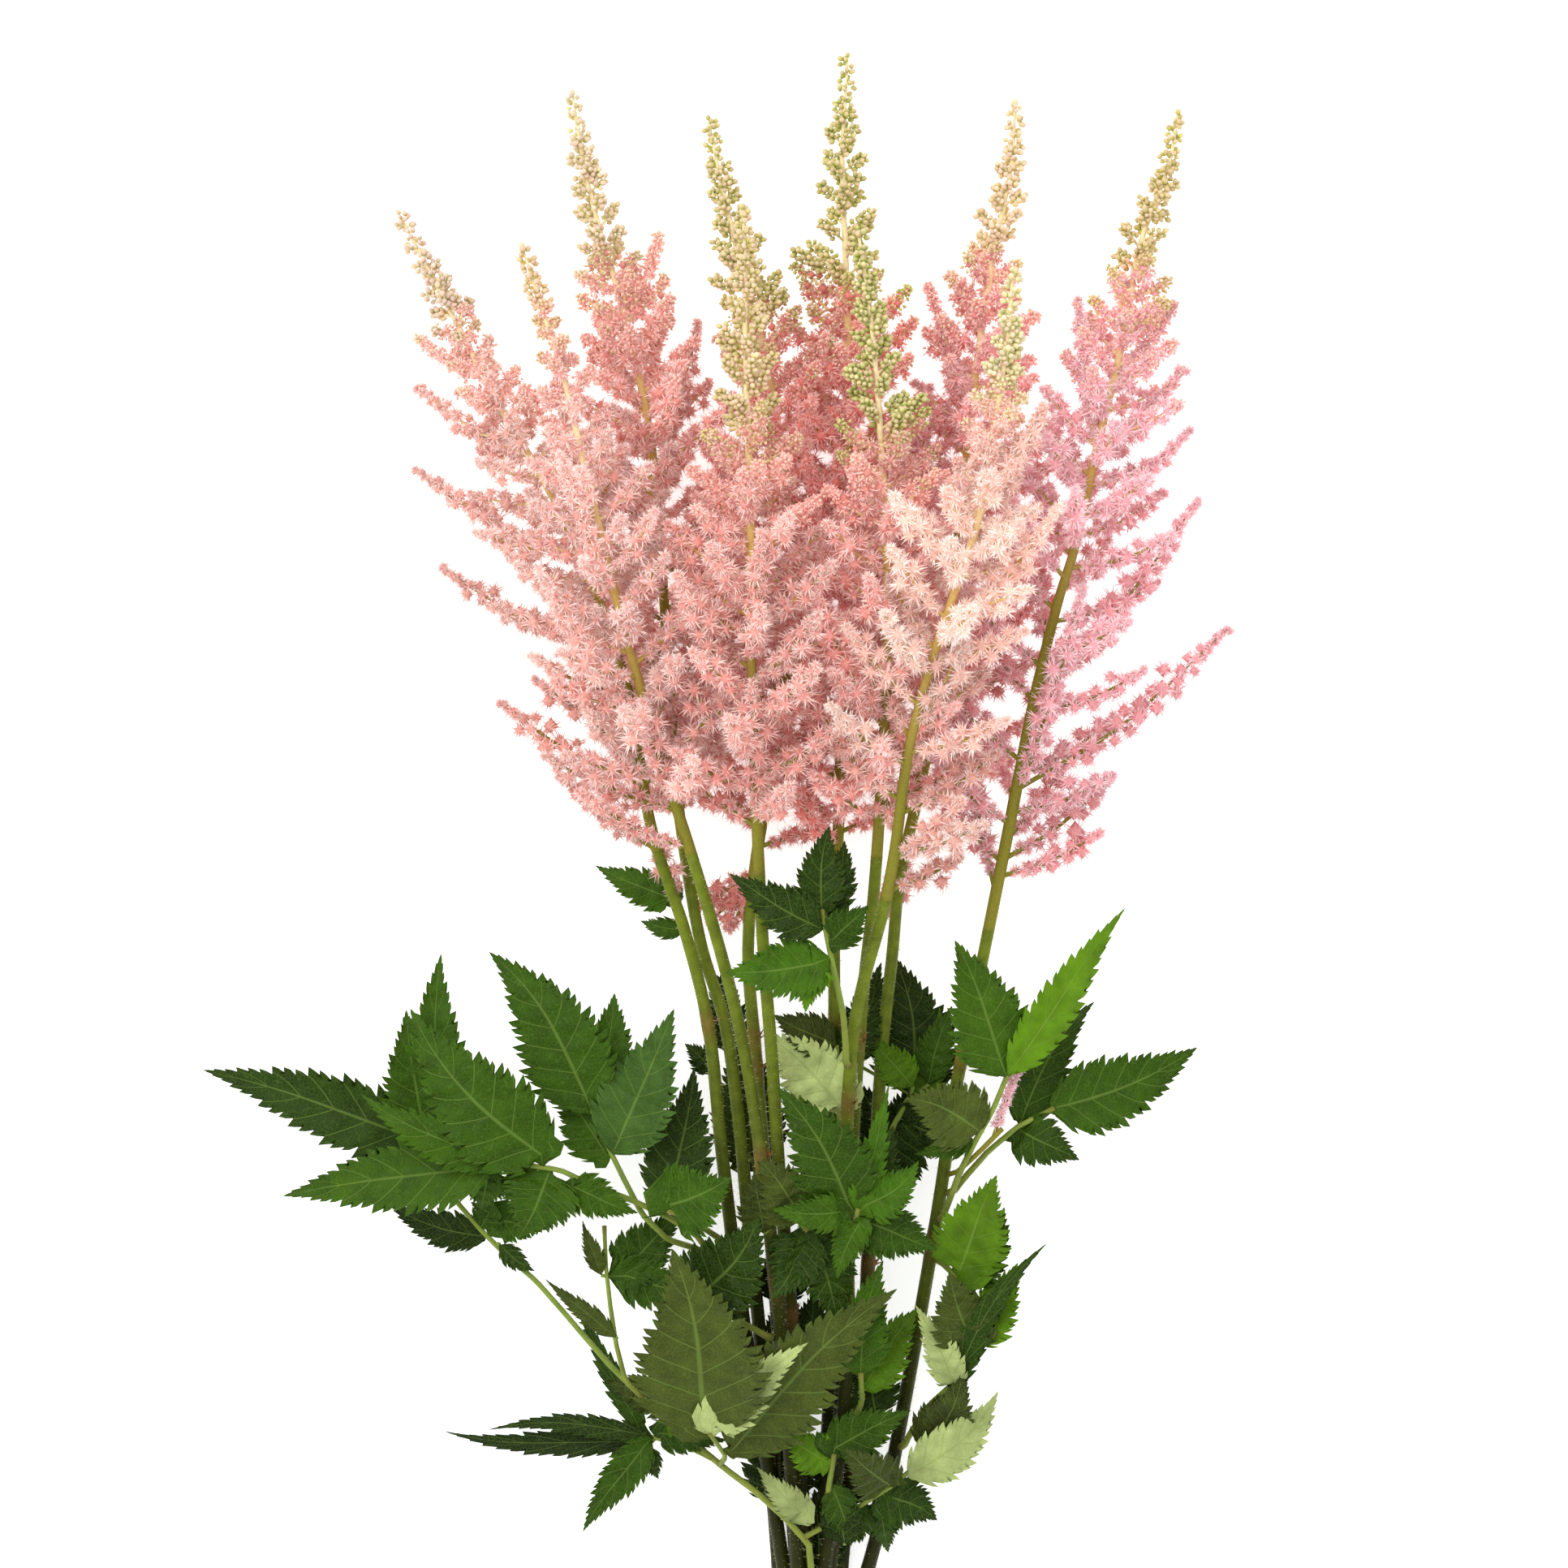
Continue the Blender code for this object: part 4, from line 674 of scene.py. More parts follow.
def grown_branches(paths, crowd, found):
    """Fills each plume with more side branches, where there is room for them."""
    rng = random.Random(SEED)
    turn = {key: rng.uniform(0.0, 6.28) for key in paths}
    for row in range(ROWS):
        for key, (path, spire_end, plume_end) in paths.items():
            if len(found[key]) >= MOST_BRANCHES:
                continue
            share = (row + 0.5) / ROWS
            distance = spire_end + (plume_end - spire_end - 6.0) * (0.05 + 0.95 * share)
            root, upward = axis_at(path, distance, 5.0)
            length = spread_length(distance) * rng.uniform(0.8, 1.0)
            radius = 4.5 + 3.6 * min(1.0, length / 60.0)
            if 0.75 < share:
                length = length * (1.25 - share) * 2.0
            turn[key] += 2.4
            best = (0.0, None)
            for shift in (0.0, 0.6, -0.6, 1.2, -1.2, 1.8, -1.8, 2.6):
                tip = root + unit(outward_at(upward, turn[key] + shift) * 0.8 + upward * 0.62) * length
                reach = free_share(crowd, key, root, tip, radius)
                if reach > best[0] + 0.08:
                    best = (reach, tip)
            if best[0] > 0.0:
                fit_branch(found, crowd, key, root, best[1], radius, 0.35)


def side_vectors(upward):
    """Two directions square to an axis: one level, and one that rises."""
    side = unit(np.cross(upward, (0.0, 0.0, 1.0)))
    return side, np.cross(side, upward)


def outward_at(upward, angle):
    """Direction square to an axis, at an angle round it."""
    side, rise = side_vectors(upward)
    return math.cos(angle) * side + math.sin(angle) * rise


def axis_at(path, distance, back):
    """Point of an axis at a distance from its tip, and the direction there towards the tip."""
    root = along_path(path, [distance])[0]
    return root, unit(along_path(path, [distance - back])[0] - root)


def free_share(crowd, key, root, tip, radius):
    """Share of a side branch that fits between the other pieces."""
    for share in (1.0, 0.85, 0.7, 0.55, 0.4):
        end = root + (tip - root) * share
        end[2] = max(end[2], radius * 0.36)
        bend = usual_bend(np.linalg.norm(tip - root) * share)
        if branch_fits(crowd, key, root, end, radius, bend):
            return share
    return 0.0


def spire_branches(key, paths, crowd):
    """Short side clusters that widen the lower half of a bud spire."""
    path, spire_end, _ = paths[key]
    found = []
    rng = random.Random(SEED + ord(key))
    angle = rng.uniform(0.0, 6.28)
    distance = spire_end - 6.0
    while distance > 34.0:
        root, upward = axis_at(path, distance, 4.0)
        outward = outward_at(upward, angle)
        length = spread_length(distance) * rng.uniform(0.85, 1.05)
        radius = 2.6 + 1.6 * min(1.0, length / 30.0)
        tip = root + unit(outward * 0.85 + upward * 0.55) * length
        line, radii = branch_balls(root, tip, radius, np.zeros(3))
        own = ("rachis_" + key, "spire_" + key)
        if crowd.room(line[1:], radii[1:] * BALL_SHARE + GAP, own) > 0.0:
            crowd.add("spire_" + key, line[1:], radii[1:] * BALL_SHARE)
            found.append((root, tip, radius, np.zeros(3)))
        angle += 2.4
        distance -= 14.0
    return found


def blade_spine(base, tip, rng):
    """Rest curve of a leaflet's midrib, with its arch, its bow and its roll."""
    along = tip - base
    length = np.linalg.norm(along)
    across = unit(np.cross((0.0, 0.0, 1.0), along))
    bow = rng.uniform(-0.06, 0.06) * length
    arch = rng.uniform(0.03, 0.09) * length
    shares = np.linspace(0.0, 1.0, 17)
    hump = np.sin(math.pi * shares)
    spine = base + shares[:, None] * along + hump[:, None] * (bow * across)
    spine[:, 2] += arch * hump
    roll = rng.uniform(-0.28, 0.28)
    return spine, roll


def half_width(share, width):
    """Half width of a leaflet at a share of its length."""
    return 0.5 * width * math.sin(math.pi * share ** 0.62) ** 0.85


def blade_grid(spine, width, roll):
    """Sample points over a leaflet, for keeping it clear of others."""
    rows = []
    tangents = np.gradient(spine, axis=0)
    for i, spot in enumerate(spine):
        share = i / (len(spine) - 1)
        across = unit(np.cross((0.0, 0.0, 1.0), tangents[i]))
        reach = half_width(min(0.98, max(0.04, share)), width)
        for part in (-1.0, -0.5, 0.0, 0.5, 1.0):
            point = spot + across * (part * reach)
            point[2] += reach * (abs(part) * BLADE_FOLD + part * math.sin(roll))
            rows.append(point)
    return np.array(rows).reshape(len(spine), 5, 3)


def bend_clear(grid, tops, fixed, margin):
    """Lift or drop for each row of points, so that it passes over or under what is there."""
    count = len(grid)
    lift = np.zeros(count)
    flat = grid.reshape(count, -1, 3)
    centres, radii = tops
    if len(centres) == 0:
        return lift
    away = np.linalg.norm(flat[:, :, None, :2] - centres[None, None, :, :2], axis=3)
    reach = radii[None, None, :] + margin
    near = away < reach
    drop = flat[:, :, None, 2] - centres[None, None, :, 2]
    need = np.sqrt(np.maximum(reach ** 2 - away ** 2, 0.0)) + 0.4
    sign = np.where(drop >= 0.0, 1.0, -1.0)
    for _ in range(BEND_PASSES):
        short = np.where(near, need - sign * (drop + lift[:, None, None]), 0.0)
        short = np.maximum(short, 0.0)
        up = np.where(sign > 0, short, 0.0).max(axis=(1, 2))
        down = np.where(sign < 0, short, 0.0).max(axis=(1, 2))
        change = np.where(up >= down, up, -down)
        change[:fixed] = 0.0
        lift = lift + spread_change(change)
    return lift


def spread_change(change):
    """Carries a lift to the rows beside it, so that the piece bends softly."""
    count = len(change)
    index = np.arange(count)
    fall = np.maximum(0.0, 1.0 - np.abs(index[:, None] - index[None, :]) / 4.0)
    up = (fall * np.maximum(change, 0.0)[None, :]).max(axis=1)
    down = (fall * np.maximum(-change, 0.0)[None, :]).max(axis=1)
    return up - down


def off_the_stem(points, parent, rise):
    """Stalk points that begin at the skin of the parent stem and leave it square."""
    path = parent[0]
    near = np.argmin(np.linalg.norm(path - points[0], axis=1))
    centre = path[near]
    tangent = unit(path[near] - path[min(near + 1, len(path) - 1)])
    towards = points[1] - centre
    radial = unit(towards - tangent * np.dot(towards, tangent))
    radius = stem_radius(path_lengths(path)[-1] - path_lengths(path)[near])
    start = centre + radial * (radius + GAP)
    return [start, start + radial * 2.6 + tangent * rise] + list(points[1:])


def grow_leaf(name, paths, crowd):
    """Stalks and leaflets of one compound leaf, bent clear of what is in the way."""
    parent, stalks, leaflets = LEAVES[name]
    rng = random.Random(name)
    lines = []
    for i, points in enumerate(stalks):
        spots = [seen(p) for p in points]
        if i == 0:
            spots = off_the_stem(spots, paths[parent], 0.6)
        path = smooth_path(spots, 4.0)
        radius = STALK_RADIUS if i == 0 else SUBSTALK_RADIUS
        others = crowd.owners != crowd.owner(name)
        far = others & (np.linalg.norm(crowd.centres - path[0], axis=1) > 9.0)
        tops = (crowd.centres[far], crowd.radii[far])
        lift = bend_clear(path[:, None, :], tops, 2, radius + 1.0)
        lift[0] = 0.0
        path[:, 2] = np.maximum(path[:, 2] + lift, radius + 0.3)
        if i > 0:
            trunk = lines[0][2]
            near = np.argmin(np.linalg.norm(trunk[:, :2] - path[0, :2], axis=1))
            share = np.linspace(1.0, 0.0, len(path))[:, None] ** 2
            path = path + (trunk[near] - path[0]) * share
        run = path_lengths(path)
        head = [0.0, 2.2, 10.0] if i == 0 else [0.0, 10.0]
        stops = np.concatenate([head, np.arange(25.0, run[-1] - 8.0, 15.0), [run[-1]]])
        spots = along_path(path, stops)
        fine = along_path(spots, np.linspace(0.0, path_lengths(spots)[-1], len(path)))
        lines.append((radius, lift, fine))
        crowd.add(name, fine, radius)
    blades = []
    for base, tip, width in leaflets:
        blades.append(grow_leaflet(name, crowd, lines, seen(base), seen(tip), width, rng))
    return lines, blades


def grow_leaflet(name, crowd, lines, base, tip, width, rng):
    """One leaflet, from the nearest point of its stalks to its tip."""
    spots = np.vstack([line[1:-1] for _, _, line in lines])
    lifts = np.concatenate([lift[1:-1] for _, lift, _ in lines])
    near = np.argmin(np.linalg.norm(spots - base, axis=1))
    root = spots[near]
    base[2] = root[2] + np.clip(base[2] + lifts[near] - root[2], -4.0, 4.0)
    forward = unit(tip - base)
    base = base + forward * max(0.0, 1.5 - np.dot(base - root, forward))
    spine, roll = blade_spine(base, tip, rng)
    grid = blade_grid(spine, width, roll)
    far = np.linalg.norm(crowd.centres - base, axis=1) > 7.0
    tops = (crowd.centres[far], crowd.radii[far])
    lift = bend_clear(grid, tops, 1, 1.5)
    spine[:, 2] += lift
    lowest = grid[:, :, 2].min(axis=1) + lift
    spine[:, 2] += np.maximum(0.0, 1.0 - lowest)
    grid = blade_grid(spine, width, roll)
    crowd.add(name, grid[1:].reshape(-1, 3), 0.8)
    return root, spine, width, roll


def core_radius(share, base):
    """Radius of the florets close round a plume's axis, from its base up to its spire."""
    return np.interp(share, (0.0, 0.14, 0.4, 0.8, 1.0), (base, base, CORE_RADIUS, 5.4, 2.2))


def spire_outline(distance):
    """Radius of the buds round the axis of a spire, by distance from the tip."""
    return min(5.0, 2.0 + 0.05 * distance)


def take_axes(paths, crowd):
    """Books the space of every stem, axis and spire core."""
    for key, (path, spire_end, plume_end) in paths.items():
        run = path_lengths(path)
        total = run[-1]
        bare = run > plume_end
        inside = (run > spire_end) & ~bare
        radii = np.array([stem_radius(total - stop) for stop in run])
        crowd.add("stem_" + key, path[bare], radii[bare])
        shares = (plume_end - run[inside]) / (plume_end - spire_end)
        crowd.add("rachis_" + key, path[inside], core_radius(shares, 2.6) * BALL_SHARE)
        spire = run <= spire_end
        heads = np.array([spire_outline(stop) for stop in run[spire]]) * 1.25
        crowd.add("spire_" + key, path[spire], heads)


def paint(colour):
    """Linear colour from one as it shows."""
    return (np.array(colour, dtype=float) / 255.0) ** 2.2


def mixed(first, second, share):
    """Colours between two, by a share for each point."""
    share = np.asarray(share, dtype=float)[..., None]
    return np.asarray(first) * (1.0 - share) + np.asarray(second) * share


class Skin:
    """Points, triangles and colours of one piece, gathered from many small shapes."""

    def __init__(self):
        self.points = []
        self.triangles = []
        self.colours = []
        self.marks = []
        self.count = 0

    def add(self, points, triangles, colours, marks=(0.0, 0.0, 0.0)):
        """Adds one shape, with a colour and a place on its blade for each point."""
        points = np.asarray(points, dtype=float)
        self.points.append(points)
        self.triangles.append(np.asarray(triangles, dtype=int) + self.count)
        self.colours.append(np.broadcast_to(colours, (len(points), 3)))
        self.marks.append(np.broadcast_to(marks, (len(points), 3)))
        self.count += len(points)

    def piece(self, name, node, material):
        """Mesh object of everything added, which stands for a solid."""
        points = np.vstack(self.points) * UNIT
        points[:, 2] = np.maximum(points[:, 2], 0.0)
        triangles = np.vstack(self.triangles)
        mesh = bpy.data.meshes.new(name)
        mesh.vertices.add(len(points))
        mesh.vertices.foreach_set("co", points.astype(np.float32).ravel())
        mesh.loops.add(triangles.size)
        mesh.loops.foreach_set("vertex_index", triangles.astype(np.int32).ravel())
        mesh.polygons.add(len(triangles))
        mesh.polygons.foreach_set("loop_start", np.arange(0, triangles.size, 3, dtype=np.int32))
        mesh.update(calc_edges=True)
        mesh.polygons.foreach_set("use_smooth", np.ones(len(triangles), dtype=bool))
        tone = mesh.attributes.new("tone", "FLOAT_COLOR", "POINT")
        solid = np.ones((len(points), 4), dtype=np.float32)
        solid[:, :3] = np.vstack(self.colours)
        tone.data.foreach_set("color", solid.ravel())
        blade = mesh.attributes.new("blade", "FLOAT_VECTOR", "POINT")
        blade.data.foreach_set("vector", np.vstack(self.marks).astype(np.float32).ravel())
        mesh.materials.append(material)
        item = bpy.data.objects.new(name, mesh)
        bpy.context.scene.collection.objects.link(item)
        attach(item, "root")
        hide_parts(node)
        return item


def tube(skin, line, radii, sides, colours):
    """Round stalk along a line, closed at its ends."""
    pairs = path_frames(line)
    angles = np.arange(sides) * 2.0 * math.pi / sides
    points = []
    for spot, radius, (side, rise) in zip(line, radii, pairs):
        points.append(spot + radius * (np.cos(angles)[:, None] * side + np.sin(angles)[:, None] * rise))
    points = np.vstack(points + [line[:1], line[-1:]])
    ring = np.arange(sides)
    after = (ring + 1) % sides
    faces = []
    for i in range(len(line) - 1):
        low = i * sides
        high = low + sides
        faces.append(np.stack([low + ring, low + after, high + after], axis=1))
        faces.append(np.stack([low + ring, high + after, high + ring], axis=1))
    first = np.full(sides, len(points) - 2)
    last = np.full(sides, len(points) - 1)
    faces.append(np.stack([first, after, ring], axis=1))
    top = (len(line) - 1) * sides
    faces.append(np.stack([last, top + ring, top + after], axis=1))
    colours = np.broadcast_to(colours, (len(line), 3))
    spread = np.vstack([np.repeat(colours, sides, axis=0), colours[:1], colours[-1:]])
    skin.add(points, np.vstack(faces), spread)


def units(vectors):
    """Rows of length one."""
    return vectors / (np.linalg.norm(vectors, axis=1)[:, None] + 1e-9)


def add_copies(skin, faces, points, colours):
    """Many shapes with the same triangles, as one row of points and colours for each."""
    start = np.arange(len(points))[:, None, None] * points.shape[1]
    skin.add(points.reshape(-1, 3), (start + faces[None]).reshape(-1, 3), colours.reshape(-1, 3))


def add_petals(skin, draws, origins, directions, lengths, width, roots, tips):
    """Narrow pointed petals, each one triangle, from their origins outward."""
    across = units(np.cross(directions, draws.normal(size=(len(origins), 3)))) * (0.5 * width)
    end = origins + directions * lengths[:, None]
    points = np.stack([origins + across, origins - across, end], axis=1)
    add_copies(skin, np.array([(0, 1, 2)]), points, np.stack([roots, roots, tips], axis=1))


def bud_form(sides, rings):
    """Points and triangles of one egg-shaped bud of length one, base at zero, along z."""
    points = [(0.0, 0.0, 0.0)]
    for row, (height, radius) in enumerate(rings):
        for k in range(sides):
            angle = 2.0 * math.pi * (k + 0.5 * row) / sides
            points.append((radius * math.cos(angle), radius * math.sin(angle), height))
    points.append((0.0, 0.0, 1.0))
    last = len(points) - 1
    faces = []
    for k in range(sides):
        after = (k + 1) % sides
        faces.append((0, 1 + after, 1 + k))
        faces.append((last, last - sides + k, last - sides + after))
        for row in range(len(rings) - 1):
            low = 1 + row * sides
            high = low + sides
            faces.append((low + k, low + after, high + k))
            faces.append((low + after, high + after, high + k))
    return np.array(points), np.array(faces)


def add_buds(skin, draws, places, directions, sizes, bodies, tips, sides, rings):
    """Egg-shaped buds, with a paler or pinker tip."""
    form, faces = bud_form(sides, rings)
    across = units(np.cross(directions, draws.normal(size=(len(places), 3))))
    rise = np.cross(directions, across)
    wide = sizes * BUD_WIDTH / BUD_LENGTH
    points = places[:, None, :]
    for k, (reach, aims) in enumerate(((wide, across), (wide, rise), (sizes, directions))):
        points = points + (form[None, :, k] * reach[:, None])[:, :, None] * aims[:, None, :]
    share = np.clip((form[:, 2] - 0.45) / 0.5, 0.0, 1.0)[None, :, None]
    add_copies(skin, faces, points, bodies[:, None, :] * (1.0 - share) + tips[:, None, :] * share)


def add_balls(skin, draws, centres, sizes, colours):
    """Small rough eight-sided lumps, the cores of the puffs."""
    form = np.array([(1, 0, 0), (0, 1, 0), (-1, 0, 0), (0, -1, 0), (0, 0, 1), (0, 0, -1)], dtype=float)
    upper = [(k, (k + 1) % 4, 4) for k in range(4)]
    lower = [((k + 1) % 4, k, 5) for k in range(4)]
    many = (len(centres), len(form), 1)
    uneven = draws.uniform(0.8, 1.15, many)
    points = centres[:, None, :] + form[None] * uneven * sizes[:, None, None]
    colours = colours[:, None, :] * draws.uniform(0.88, 1.1, many)
    add_copies(skin, np.array(upper + lower), points, colours)


def round_directions(draws, balls, count):
    """Directions spread evenly round each of some balls, turned and shaken."""
    steps = np.arange(count) + 0.5
    heights = 1.0 - 2.0 * steps / count
    angles = GOLDEN * steps[None] + draws.uniform(0.0, 6.28, (balls, 1))
    flat = np.sqrt(1.0 - heights ** 2)
    level = np.broadcast_to(heights, (balls, count))
    found = np.stack([flat * np.cos(angles), flat * np.sin(angles), level], axis=2)
    return units((found + draws.normal(0.0, 0.16, found.shape)).reshape(-1, 3))


class Bloom:
    """Buds and puffs of florets of one flower head, gathered first and made together."""

    def __init__(self, key):
        self.rng = random.Random(SEED + ord(key[0]))
        self.draws = np.random.default_rng(SEED + ord(key[0]))
        self.buds = []
        self.puffs = []

    def bud(self, place, direction, opened):
        """One bud, with its direction and how far it has opened."""
        self.buds.append((*place, *direction, opened))

    def puff(self, centre, radius, opened, light):
        """One round cluster of florets, with a factor for its colour."""
        self.puffs.append((*centre, radius, opened, light))

    def build(self, skin, head):
        """Makes the separate buds, then the puffs."""
        if self.buds:
            table = np.array(self.buds)
            opened = table[:, 6] + self.draws.normal(0.0, 0.05, len(table))
            sizes = BUD_LENGTH * self.draws.uniform(0.75, 1.12, len(table))
            light = self.draws.normal(1.0, 0.07, (len(table), 1))
            self.add_buds(skin, table[:, :3], units(table[:, 3:6]), sizes, opened, head, light, BUD_RINGS)
        if self.puffs:
            self.build_puffs(skin, head)

    def add_buds(self, skin, places, directions, sizes, opened, head, light, rings):
        """Buds, green near the tip of the stem and pink lower down."""
        green = np.clip(1.0 - (opened - 0.05) / 0.14, 0.0, 1.0)
        bodies = mixed(paint(PINK_BUD), paint(head[2]), green) * light
        ends = mixed(paint(PINK_TIP), paint(head[3]), green) * light
        add_buds(skin, self.draws, places, directions, sizes, bodies, ends, len(rings) + 3, rings)

    def build_puffs(self, skin, head):
        """Puffs: a small core with petals all over it, or pink buds, or both."""
        draws = self.draws
        table = np.array(self.puffs)
        centres, sizes = table[:, :3], table[:, 3]
        opened = table[:, 4] + draws.normal(0.0, 0.05, len(table))
        top = np.percentile(centres[:, 2], 88)
        # Painted shade: puffs that lie deeper below the top of the plume mix in more of the shade colour
        low = np.clip((top - centres[:, 2]) / PAINTED_SHADE_DEPTH, 0.0, 1.0)
        tips = mixed(paint(head[0]), paint(PAINTED_SHADE_PINK), PAINTED_SHADE_IN_TIPS * low)
        roots = mixed(paint(head[1]), paint(PAINTED_SHADE_PINK), PAINTED_SHADE_IN_ROOTS * low)
        light = table[:, 5:] * draws.normal(1.0, 0.04, (len(table), 1))
        full = opened > FULL_OPEN
        half = (opened > HALF_OPEN) & ~full
        cores = sizes * np.where(full, CORE_SHARE, BUD_CORE_SHARE)
        add_balls(skin, draws, centres, cores, roots * light)
        for chosen, count in ((full, PETALS), (half, HALF_OPEN_PETALS)):
            rows = np.repeat(np.flatnonzero(chosen), count)
            aims = round_directions(draws, int(chosen.sum()), count)
            lengths = (PETAL_LENGTH + PETAL_GROWTH * sizes[rows]) * draws.uniform(0.7, 1.2, len(rows))
            starts = centres[rows] + aims * (0.45 * sizes[rows])[:, None]
            aims = units(aims + draws.normal(0.0, 0.32, aims.shape))
            shade = draws.normal(1.0, 0.05, (len(rows), 1)) * light[rows]
            waist = (0.5 * roots + 0.5 * tips)[rows]
            add_petals(skin, draws, starts, aims, lengths, PETAL_WIDTH, waist * shade, tips[rows] * shade)
        rows = np.repeat(np.flatnonzero(~full), PUFF_BUDS)
        aims = round_directions(draws, int((~full).sum()), PUFF_BUDS)
        starts = centres[rows] + aims * (0.6 * sizes[rows])[:, None]
        sizes = SMALL_BUD * draws.uniform(0.75, 1.15, len(rows))
        self.add_buds(skin, starts, aims, sizes, opened[rows], head, light[rows], SMALL_BUD_RINGS)


def axis_radius(distance):
    """Radius of the axis of a flower head, by distance from its tip."""
    return np.interp(distance, (0.0, 30.0, 100.0, 270.0), (0.55, 0.9, 1.4, 2.2))


def axis_colour(distance):
    """Colour of the axis, from cream at the tip to olive at the base."""
    distance = np.asarray(distance, dtype=float)
    upper = mixed(paint(CREAM), paint(TAN), np.clip((distance - 70.0) / 60.0, 0.0, 1.0))
    return mixed(upper, paint(OLIVE), np.clip((distance - 120.0) / 80.0, 0.0, 1.0))


def dress_branch(skin, bloom, branch, opened, thick, colour):
    """Side branch: its stalk, and puffs of florets round it."""
    root, tip, radius, bend = branch
    rng = bloom.rng
    line = branch_path(root, tip, bend)
    run = path_lengths(line)
    total = run[-1]
    pairs = path_frames(line)
    tube(skin, line, np.interp(run, (0.0, total), (thick, 0.35)), 5, colour)
    places, radii = branch_profile(total, radius)
    light = rng.uniform(0.92, 1.08)
    angle = rng.uniform(0.0, 6.28)
    at = 0.12 * total if total > 20.0 else 1.2
    while at < total:
        spot = along_path(line, [at])[0]
        index = min(len(line) - 2, int(np.interp(at, run, np.arange(len(line)))))
        side, rise = pairs[index]
        forward = unit(line[index + 1] - line[index])
        lean = unit((math.cos(angle) * side + math.sin(angle) * rise) * 0.9 + forward * 0.45)
        stage = opened - TIP_LAG * at / total
        width = BRANCH_WIDTH * max(np.interp(at, places, radii), LEAST_REACH) * rng.uniform(0.88, 1.12)
        size = max(LEAST_PUFF, PUFF_SHARE * width * rng.uniform(0.85, 1.2))
        centre = spot + lean * max(0.0, width - size - 1.5) * rng.uniform(0.25, 1.0)
        centre[2] = min(centre[2], HIGHEST_PUFF)
        bloom.puff(centre, size, stage, light)
        at += PUFF_STEP * (size + 1.3)
        angle += GOLDEN
    bloom.puff(line[-1], TIP_PUFF, opened - TIP_LAG, light)


def openness(distance, spire_end, plume_end):
    """How far florets have opened, by distance from the tip of the stem."""
    upper = spire_end + 0.3 * (plume_end - spire_end)
    places = (0.75 * spire_end, spire_end, upper, plume_end)
    return np.interp(distance, places, (0.0, FIRST_OPEN, 0.52, 1.0))


def root_distance(path, root):
    """Distance from the tip of a stem to the place where a side branch leaves it."""
    return path_lengths(path)[np.argmin(np.linalg.norm(path - root, axis=1))]


def fill_branches(key, path, spire_end, plume_end, rng):
    """Shorter side branches between the main ones."""
    found = []
    angle = rng.uniform(0.0, 6.28)
    distance = spire_end
    while distance < plume_end - 14.0:
        root, upward = axis_at(path, distance, 5.0)
        outward = outward_at(upward, angle)
        late = (distance - spire_end) / (plume_end - spire_end)
        length = (0.95 - 0.2 * late) * spread_length(distance) * rng.uniform(0.7, 1.1)
        length = min(length, 46.0) * (1.0 - 0.35 * max(0.0, late - 0.7))
        tip = root + unit(outward * 0.85 + upward * 0.55) * length
        tip[2] = max(tip[2], 5.0)
        if outward[2] < 0.6 or late < BARE_AXES.get(key, 1.0):
            found.append((root, tip, 4.8 + 3.2 * min(1.0, length / 36.0), usual_bend(length)))
        angle += GOLDEN
        distance += FILL_STEP * (0.75 + 0.6 * late)
    return found


def build_plume(key, paths, branches, material):
    """Plume: its axis, main and filling side branches, and all their florets."""
    path, spire_end, plume_end = paths[key]
    skin = Skin()
    bloom = Bloom(key)
    stops = np.linspace(spire_end - 1.0, plume_end + 1.0, int((plume_end - spire_end) / 3.0))
    base = stem_radius(path_lengths(path)[-1] - plume_end)
    swell = np.interp(stops, (spire_end, plume_end), (1.0, base / axis_radius(plume_end)))
    thick = axis_radius(stops) * swell
    tube(skin, along_path(path, stops), thick, 8, axis_colour(stops))
    fillers = fill_branches(key, path, spire_end, plume_end, bloom.rng)
    for tip, radius in LOW_TUFTS.get(key, ()):
        root = along_path(path, [plume_end - 6.0])[0]
        tip = seen(tip)
        fillers.append((root, tip, radius, usual_bend(np.linalg.norm(tip - root))))
    for branch in branches + fillers:
        distance = root_distance(path, branch[0])
        opened = float(openness(distance, spire_end, plume_end))
        thick = 0.45 + 0.3 * axis_radius(distance)
        dress_branch(skin, bloom, branch, opened, thick, axis_colour([distance - 10.0])[0])
    bloom.build(skin, HEADS[key])
    return skin.piece("florets_" + key, "plume_" + key, material)


def cluster_reach(distance):
    """Length of a bud cluster on a spire, by distance from the tip."""
    return 1.6 + max(0.0, distance - 10.0) * 0.19


def build_spire(key, paths, branches, material):
    """Spire: a pale axis with clusters of buds that grow longer downwards."""
    path, spire_end, plume_end = paths[key]
    skin = Skin()
    bloom = Bloom(key + "_buds")
    rng = bloom.rng
    stops = np.arange(0.0, spire_end + 1.0, 3.0)
    tube(skin, along_path(path, stops), axis_radius(stops), 7, axis_colour(stops))
    angle = rng.uniform(0.0, 6.28)
    distance = 2.0
    while distance < spire_end:
        root, upward = axis_at(path, distance, 4.0)
        if distance <= 4.0:
            upward = unit(path[0] - path[2])
        outward = outward_at(upward, angle)
        reach = cluster_reach(distance) * rng.uniform(0.75, 1.1)
        lean = unit(outward * 0.85 + upward * 0.6)
        opened = float(openness(distance, spire_end, plume_end))
        colour = axis_colour([distance])[0]
        start = root + outward * axis_radius(distance) * 0.6
        bud_cluster(skin, bloom, start, lean, reach, opened, colour)
        angle += GOLDEN
        distance += 2.1 + 0.016 * distance
    for branch in branches:
        distance = root_distance(path, branch[0])
        opened = float(openness(distance, spire_end, plume_end))
        away = branch[1] - branch[0]
        colour = axis_colour([distance])[0]
        bud_cluster(skin, bloom, branch[0], unit(away), np.linalg.norm(away), opened, colour)
    bloom.bud(path[0], unit(path[0] - path[2]), 0.0)
    bloom.build(skin, HEADS[key])
    return skin.piece("buds_" + key, "bud_spire_" + key, material)


